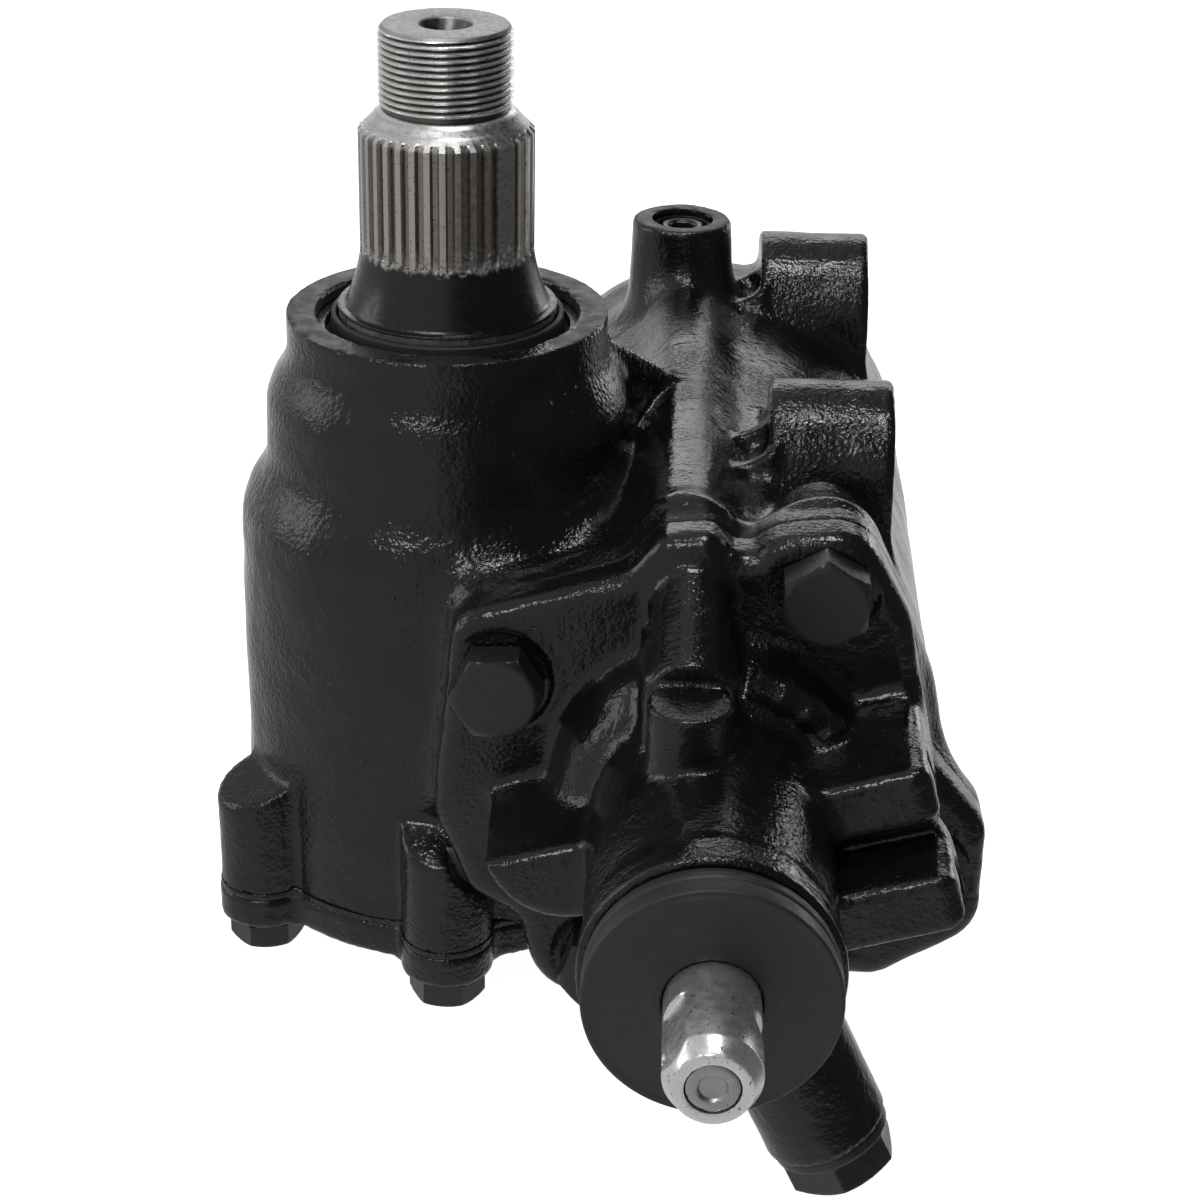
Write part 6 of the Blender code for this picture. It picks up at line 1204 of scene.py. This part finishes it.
def build_turned_pieces():
    """Dust disc, seal, plug, snap ring, relief cap, jam nut and adjuster."""
    ring = np.linspace(0, 2 * math.pi, 160, endpoint=False)
    disc = [
        (9.825, -143.6),
        (25.45, -143.6),
        (25.45, -146.6),
        (25.0, -146.9),
        (25.0, -147.3),
        (25.45, -147.6),
        (25.45, -152.4),
        (24.2, -152.4),
        (23.6, -152.25),
        (12.6, -152.25),
        (12.0, -152.4),
        (9.825, -152.4),
        (9.825, -143.6),
    ]
    points, faces = polar_skin(ALONG_Y, ring, [(y, r) for y, r in round_rows(disc, 0.7)], caps=False)
    obj = new_object("moulded_dust_disc", points, [face[::-1] for face in faces], (DISC_RUBBER,), 50.0)
    settle(obj, "input", ("dust_disc",))
    seal = [
        (25.3, 69.7),
        (29.9, 69.7),
        (29.9, 78.9),
        (28.6, 78.9),
        (28.2, 78.3),
        (27.4, 78.3),
        (27.0, 78.9),
        (26.5, 84.4),
        (25.5, 84.6),
        (25.3, 84.0),
        (25.3, 69.7),
    ]
    points, faces = polar_skin(SECTOR, ring, round_rows(seal, 0.25), caps=False)
    obj = new_object("moulded_dust_seal", points, faces, (RUBBER,), 50.0)
    settle(obj, "housing", ("sector_dust_seal",))
    turn = SECTOR @ Matrix.Rotation(math.radians(115), 4, "Z")
    outline = arc(31.5, 13, 347, 60) + arc(28.1, 347, 13, 60)
    forms = [(0.0, plate(turn, outline, 79.5, 81.3, 0.25))]
    eyes = []
    for degrees in (17.5, 342.5):
        angle = math.radians(degrees)
        eye = Vector((28.9 * math.cos(angle), 28.9 * math.sin(angle)))
        forms.append((0.3, rod(turn @ Vector((*eye, 79.5)), turn @ Vector((*eye, 81.3)), 2.3, edge=0.25)))
        eyes.append((0.0, rod(turn @ Vector((*eye, 78.0)), turn @ Vector((*eye, 83.0)), 1.0)))
    obj = new_object("sprung_snap_ring", *skin(forms, eyes, FINE_STEP), (BOLT,), 32.0)
    settle(obj, "housing", ("sector_snap_ring",))
    move = Matrix.Translation((*PLUG_BOSS, 0))
    forms = [(0.0, lathe(move, ((61.0, 7.5), (71.0, 7.5)), 0.4))]
    cuts = [
        (0.0, plate(move, hexagon_outline(6.0, 0.2), 66.0, 74.0)),
        (0.2, lathe(move, ((70.5, 3.5), (73.0, 6.0)))),
    ]
    groove = lathe(move, ((69.0, 6.6), (73.0, 6.9)))
    collar = lathe(move, ((66.0, 5.3), (75.0, 5.1)))
    moat = (groove[0], groove[1], lambda x, y, z: np.maximum(groove[2](x, y, z), -collar[2](x, y, z)))
    cuts.append((0.2, moat))
    obj = new_object("socket_passage_plug", *skin(forms, cuts, FINE_STEP), (BOLT,), 32.0)
    settle(obj, "housing", ("passage_plug",))
    build_relief_cap()
    down = SECTOR @ Matrix.Rotation(math.pi, 4, "X")
    nut = plate(down, hexagon_outline(17.0, 0.3), 63.3, 69.3, 0.3)
    keep = lathe(down, ((60.0, 8.2 + 1.7 * 9.3), (69.3, 8.2), (72.0, 8.2 - 1.7 * 2.7)))
    chamfer = (keep[0], keep[1], lambda x, y, z: -keep[2](x, y, z))
    cuts = [(0.3, chamfer), (0.2, lathe(down, ((60.0, 5.3), (75.0, 5.3))))]
    obj = new_object("hex_jam_nut", *skin([(0.0, nut)], cuts, FINE_STEP), (BOLT,), 32.0)
    settle(obj, "housing", ("adjuster_jam_nut",))
    forms = [
        (0.0, lathe(down, ((44.3, 8.0), (48.3, 8.0)), 0.2)),
        (0.2, lathe(down, ((45.0, 5.0), (72.2, 5.0), (73.0, 4.2)), 0.1)),
    ]
    cuts = [(0.1, plate(down, hexagon_outline(5.0, 0.1), 69.5, 76.0))]
    obj = new_object("socket_adjuster", *skin(forms, cuts, FINE_STEP), (BEARING,), 32.0)
    settle(obj, "housing", ("lash_adjuster_screw",))


def build_relief_cap():
    angle = math.radians(-65)
    direction = Vector((math.cos(angle), 0, math.sin(angle)))
    matrix = Matrix.Translation((0, -112.0, 0)) @ direction.to_track_quat("Z", "Y").to_matrix().to_4x4()
    flange = lathe(matrix, ((62.3, 12.8), (65.3, 12.8)), 0.9)
    head = plate(matrix, hexagon_outline(22.0, 0.4), 64.3, 72.8, 0.4)
    shank = lathe(matrix, ((51.0, 7.7), (63.0, 7.7)), 0.5)
    keep = lathe(matrix, ((45.0, 10.6 + 1.7 * 27.8), (72.8, 10.6), (78.0, 10.6 - 1.7 * 5.2)))
    chamfer = (keep[0], keep[1], lambda x, y, z: -keep[2](x, y, z))
    forms = [(0.0, flange), (0.3, head), (0.3, shank)]
    obj = new_object("hex_relief_cap", *skin(forms, [(0.3, chamfer)], FINE_STEP), (BOLT,), 32.0)
    settle(obj, "housing", ("relief_valve_cap",))


# Materials of the CAD nodes that stay as they are
KEPT = {
    "bearing_steel": (
        BEARING,
        (
            "ball_return_guide",
            "ball_train",
            "input_bearing",
            "lash_retainer",
            "pressure_port_seat",
            "relief_plunger",
            "relief_spring",
            "return_port_seat",
            "sector_lower_bearing",
            "sector_upper_bearing",
            "thrust_bearing_front",
            "thrust_bearing_rear",
            "torsion_bar_pin",
            "unloader_poppet",
        ),
    ),
    "ground_steel": (GROUND, ("bearing_adjuster", "guide_clamp", "rack_piston", "valve_sleeve", "worm")),
    "black_bolt": (BOLT, ("clamp_screw_1", "clamp_screw_2")),
    "seal_rubber": (RUBBER, ("housing_seal_ring", "input_seal", "sector_oil_seal")),
    "ring_polymer": (POLYMER, ("piston_ring", "sleeve_ring_1", "sleeve_ring_2", "sleeve_ring_3")),
}


def dress_kept_nodes():
    for material, names in KEPT.values():
        for name in names:
            obj = bpy.data.objects[name]
            obj.data.materials.clear()
            obj.data.materials.append(material)


def light_room():
    """World light of the studio: pale on the left and behind, dim on the right, pale low down."""
    world = bpy.data.worlds.new("studio")
    bpy.context.scene.world = world
    world.use_nodes = True
    nodes, links = world.node_tree.nodes, world.node_tree.links
    axes = nodes.new("ShaderNodeSeparateXYZ")
    links.new(nodes.new("ShaderNodeTexCoord").outputs["Generated"], axes.inputs[0])

    def glow(axis, low, high, start, end):
        node = nodes.new("ShaderNodeMapRange")
        node.interpolation_type = "SMOOTHSTEP"
        for socket, value in zip(("From Min", "From Max", "To Min", "To Max"), (low, high, start, end)):
            node.inputs[socket].default_value = value
        links.new(axes.outputs[axis], node.inputs["Value"])
        return node.outputs["Result"]

    def combined(operation, a, b):
        node = nodes.new("ShaderNodeMath")
        node.operation = operation
        links.new(a, node.inputs[0])
        links.new(b, node.inputs[1])
        return node.outputs[0]

    sides = glow("X", -0.1, 0.35, 0.46, 0.05)
    below = glow("Z", -0.66, -0.3, 0.5, 0.05)
    back = combined("MULTIPLY", glow("Y", 0.4, 0.9, 0.0, 0.8), glow("Z", 0.1, 0.34, 1.0, 0.07))
    total = combined("MAXIMUM", combined("MAXIMUM", sides, below), back)
    links.new(total, nodes["Background"].inputs["Strength"])
    nodes["Background"].inputs["Color"].default_value = (1.0, 1.0, 1.0, 1.0)


def build_stage():
    """Pale floor, soft lights and the camera of the photograph."""
    floor_mesh = bpy.data.meshes.new("floor")
    reach = 20.0
    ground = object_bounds()[0][2] - 0.0005
    corners = [(-reach, -reach, ground), (reach, -reach, ground), (reach, reach, ground), (-reach, reach, ground)]
    floor_mesh.from_pydata(corners, [], [(0, 1, 2, 3)])
    floor = bpy.data.objects.new("floor", floor_mesh)
    bpy.context.scene.collection.objects.link(floor)
    material = bpy.data.materials.new("pale_floor")
    material.use_nodes = True
    shader = material.node_tree.nodes["Principled BSDF"]
    shader.inputs["Base Color"].default_value = (0.9, 0.9, 0.9, 1.0)
    shader.inputs["Roughness"].default_value = 0.9
    shader.inputs["Emission Color"].default_value = (1.0, 1.0, 1.0, 1.0)
    shader.inputs["Emission Strength"].default_value = 0.95
    floor_mesh.materials.append(material)
    floor.visible_glossy = False
    lamps = (
        ("overhead", (0.1, 0.0, 1.7), (0.0, 0.05, 0.1), 0.36, 0.36, 5.5),
        ("back_strip", (0.1, 1.9, 0.88), (0.0, 0.0, 0.1), 1.4, 0.5, 3.6),
        ("back_right", (1.3, 1.7, 0.25), (0.0, 0.0, 0.1), 0.7, 0.5, 2.4),
        ("front_high", (-0.35, -0.9, 1.4), (0.0, 0.0, 0.05), 0.6, 0.35, 5.2),
        ("left_panel", (-1.7, 0.2, 0.7), (0.0, 0.0, 0.1), 0.9, 0.9, 4.0),
    )
    for name, place, target, wide, high, power in lamps:
        data = bpy.data.lights.new(name, "AREA")
        data.shape = "RECTANGLE"
        data.size, data.size_y, data.energy = wide, high, power
        lamp = bpy.data.objects.new(name, data)
        lamp.location = place
        lamp.rotation_euler = (Vector(target) - Vector(place)).to_track_quat("-Z", "Y").to_euler()
        bpy.context.scene.collection.objects.link(lamp)
    light_room()
    bpy.context.scene.view_settings.view_transform = "Standard"
    camera_data = bpy.data.cameras.new("camera")
    camera = bpy.data.objects.new("camera", camera_data)
    bpy.context.scene.collection.objects.link(camera)
    camera_data.lens = 82.06
    camera_data.sensor_width = 36.0
    camera_data.clip_start = 0.01
    pitch, yaw, roll = math.radians(25.694), math.radians(-1.395), math.radians(1.099)
    forward = Vector((math.sin(yaw) * math.cos(pitch), math.cos(yaw) * math.cos(pitch), -math.sin(pitch)))
    level = Vector((math.cos(yaw), -math.sin(yaw), 0.0))
    upward = level.cross(forward)
    right = level * math.cos(roll) + upward * math.sin(roll)
    up = upward * math.cos(roll) - level * math.sin(roll)
    matrix = Matrix.Identity(4)
    for column, axis in enumerate((right, up, -forward)):
        matrix.col[column][:3] = axis
    matrix.translation = Vector(ORIGIN) + Vector((-12.28, -590.25, 295.85)) * MM
    camera.matrix_world = matrix
    bpy.context.scene.camera = camera


build_castings()
build_bolts()
build_sector_shaft()
build_input_shaft()
build_turned_pieces()
dress_kept_nodes()
build_stage()
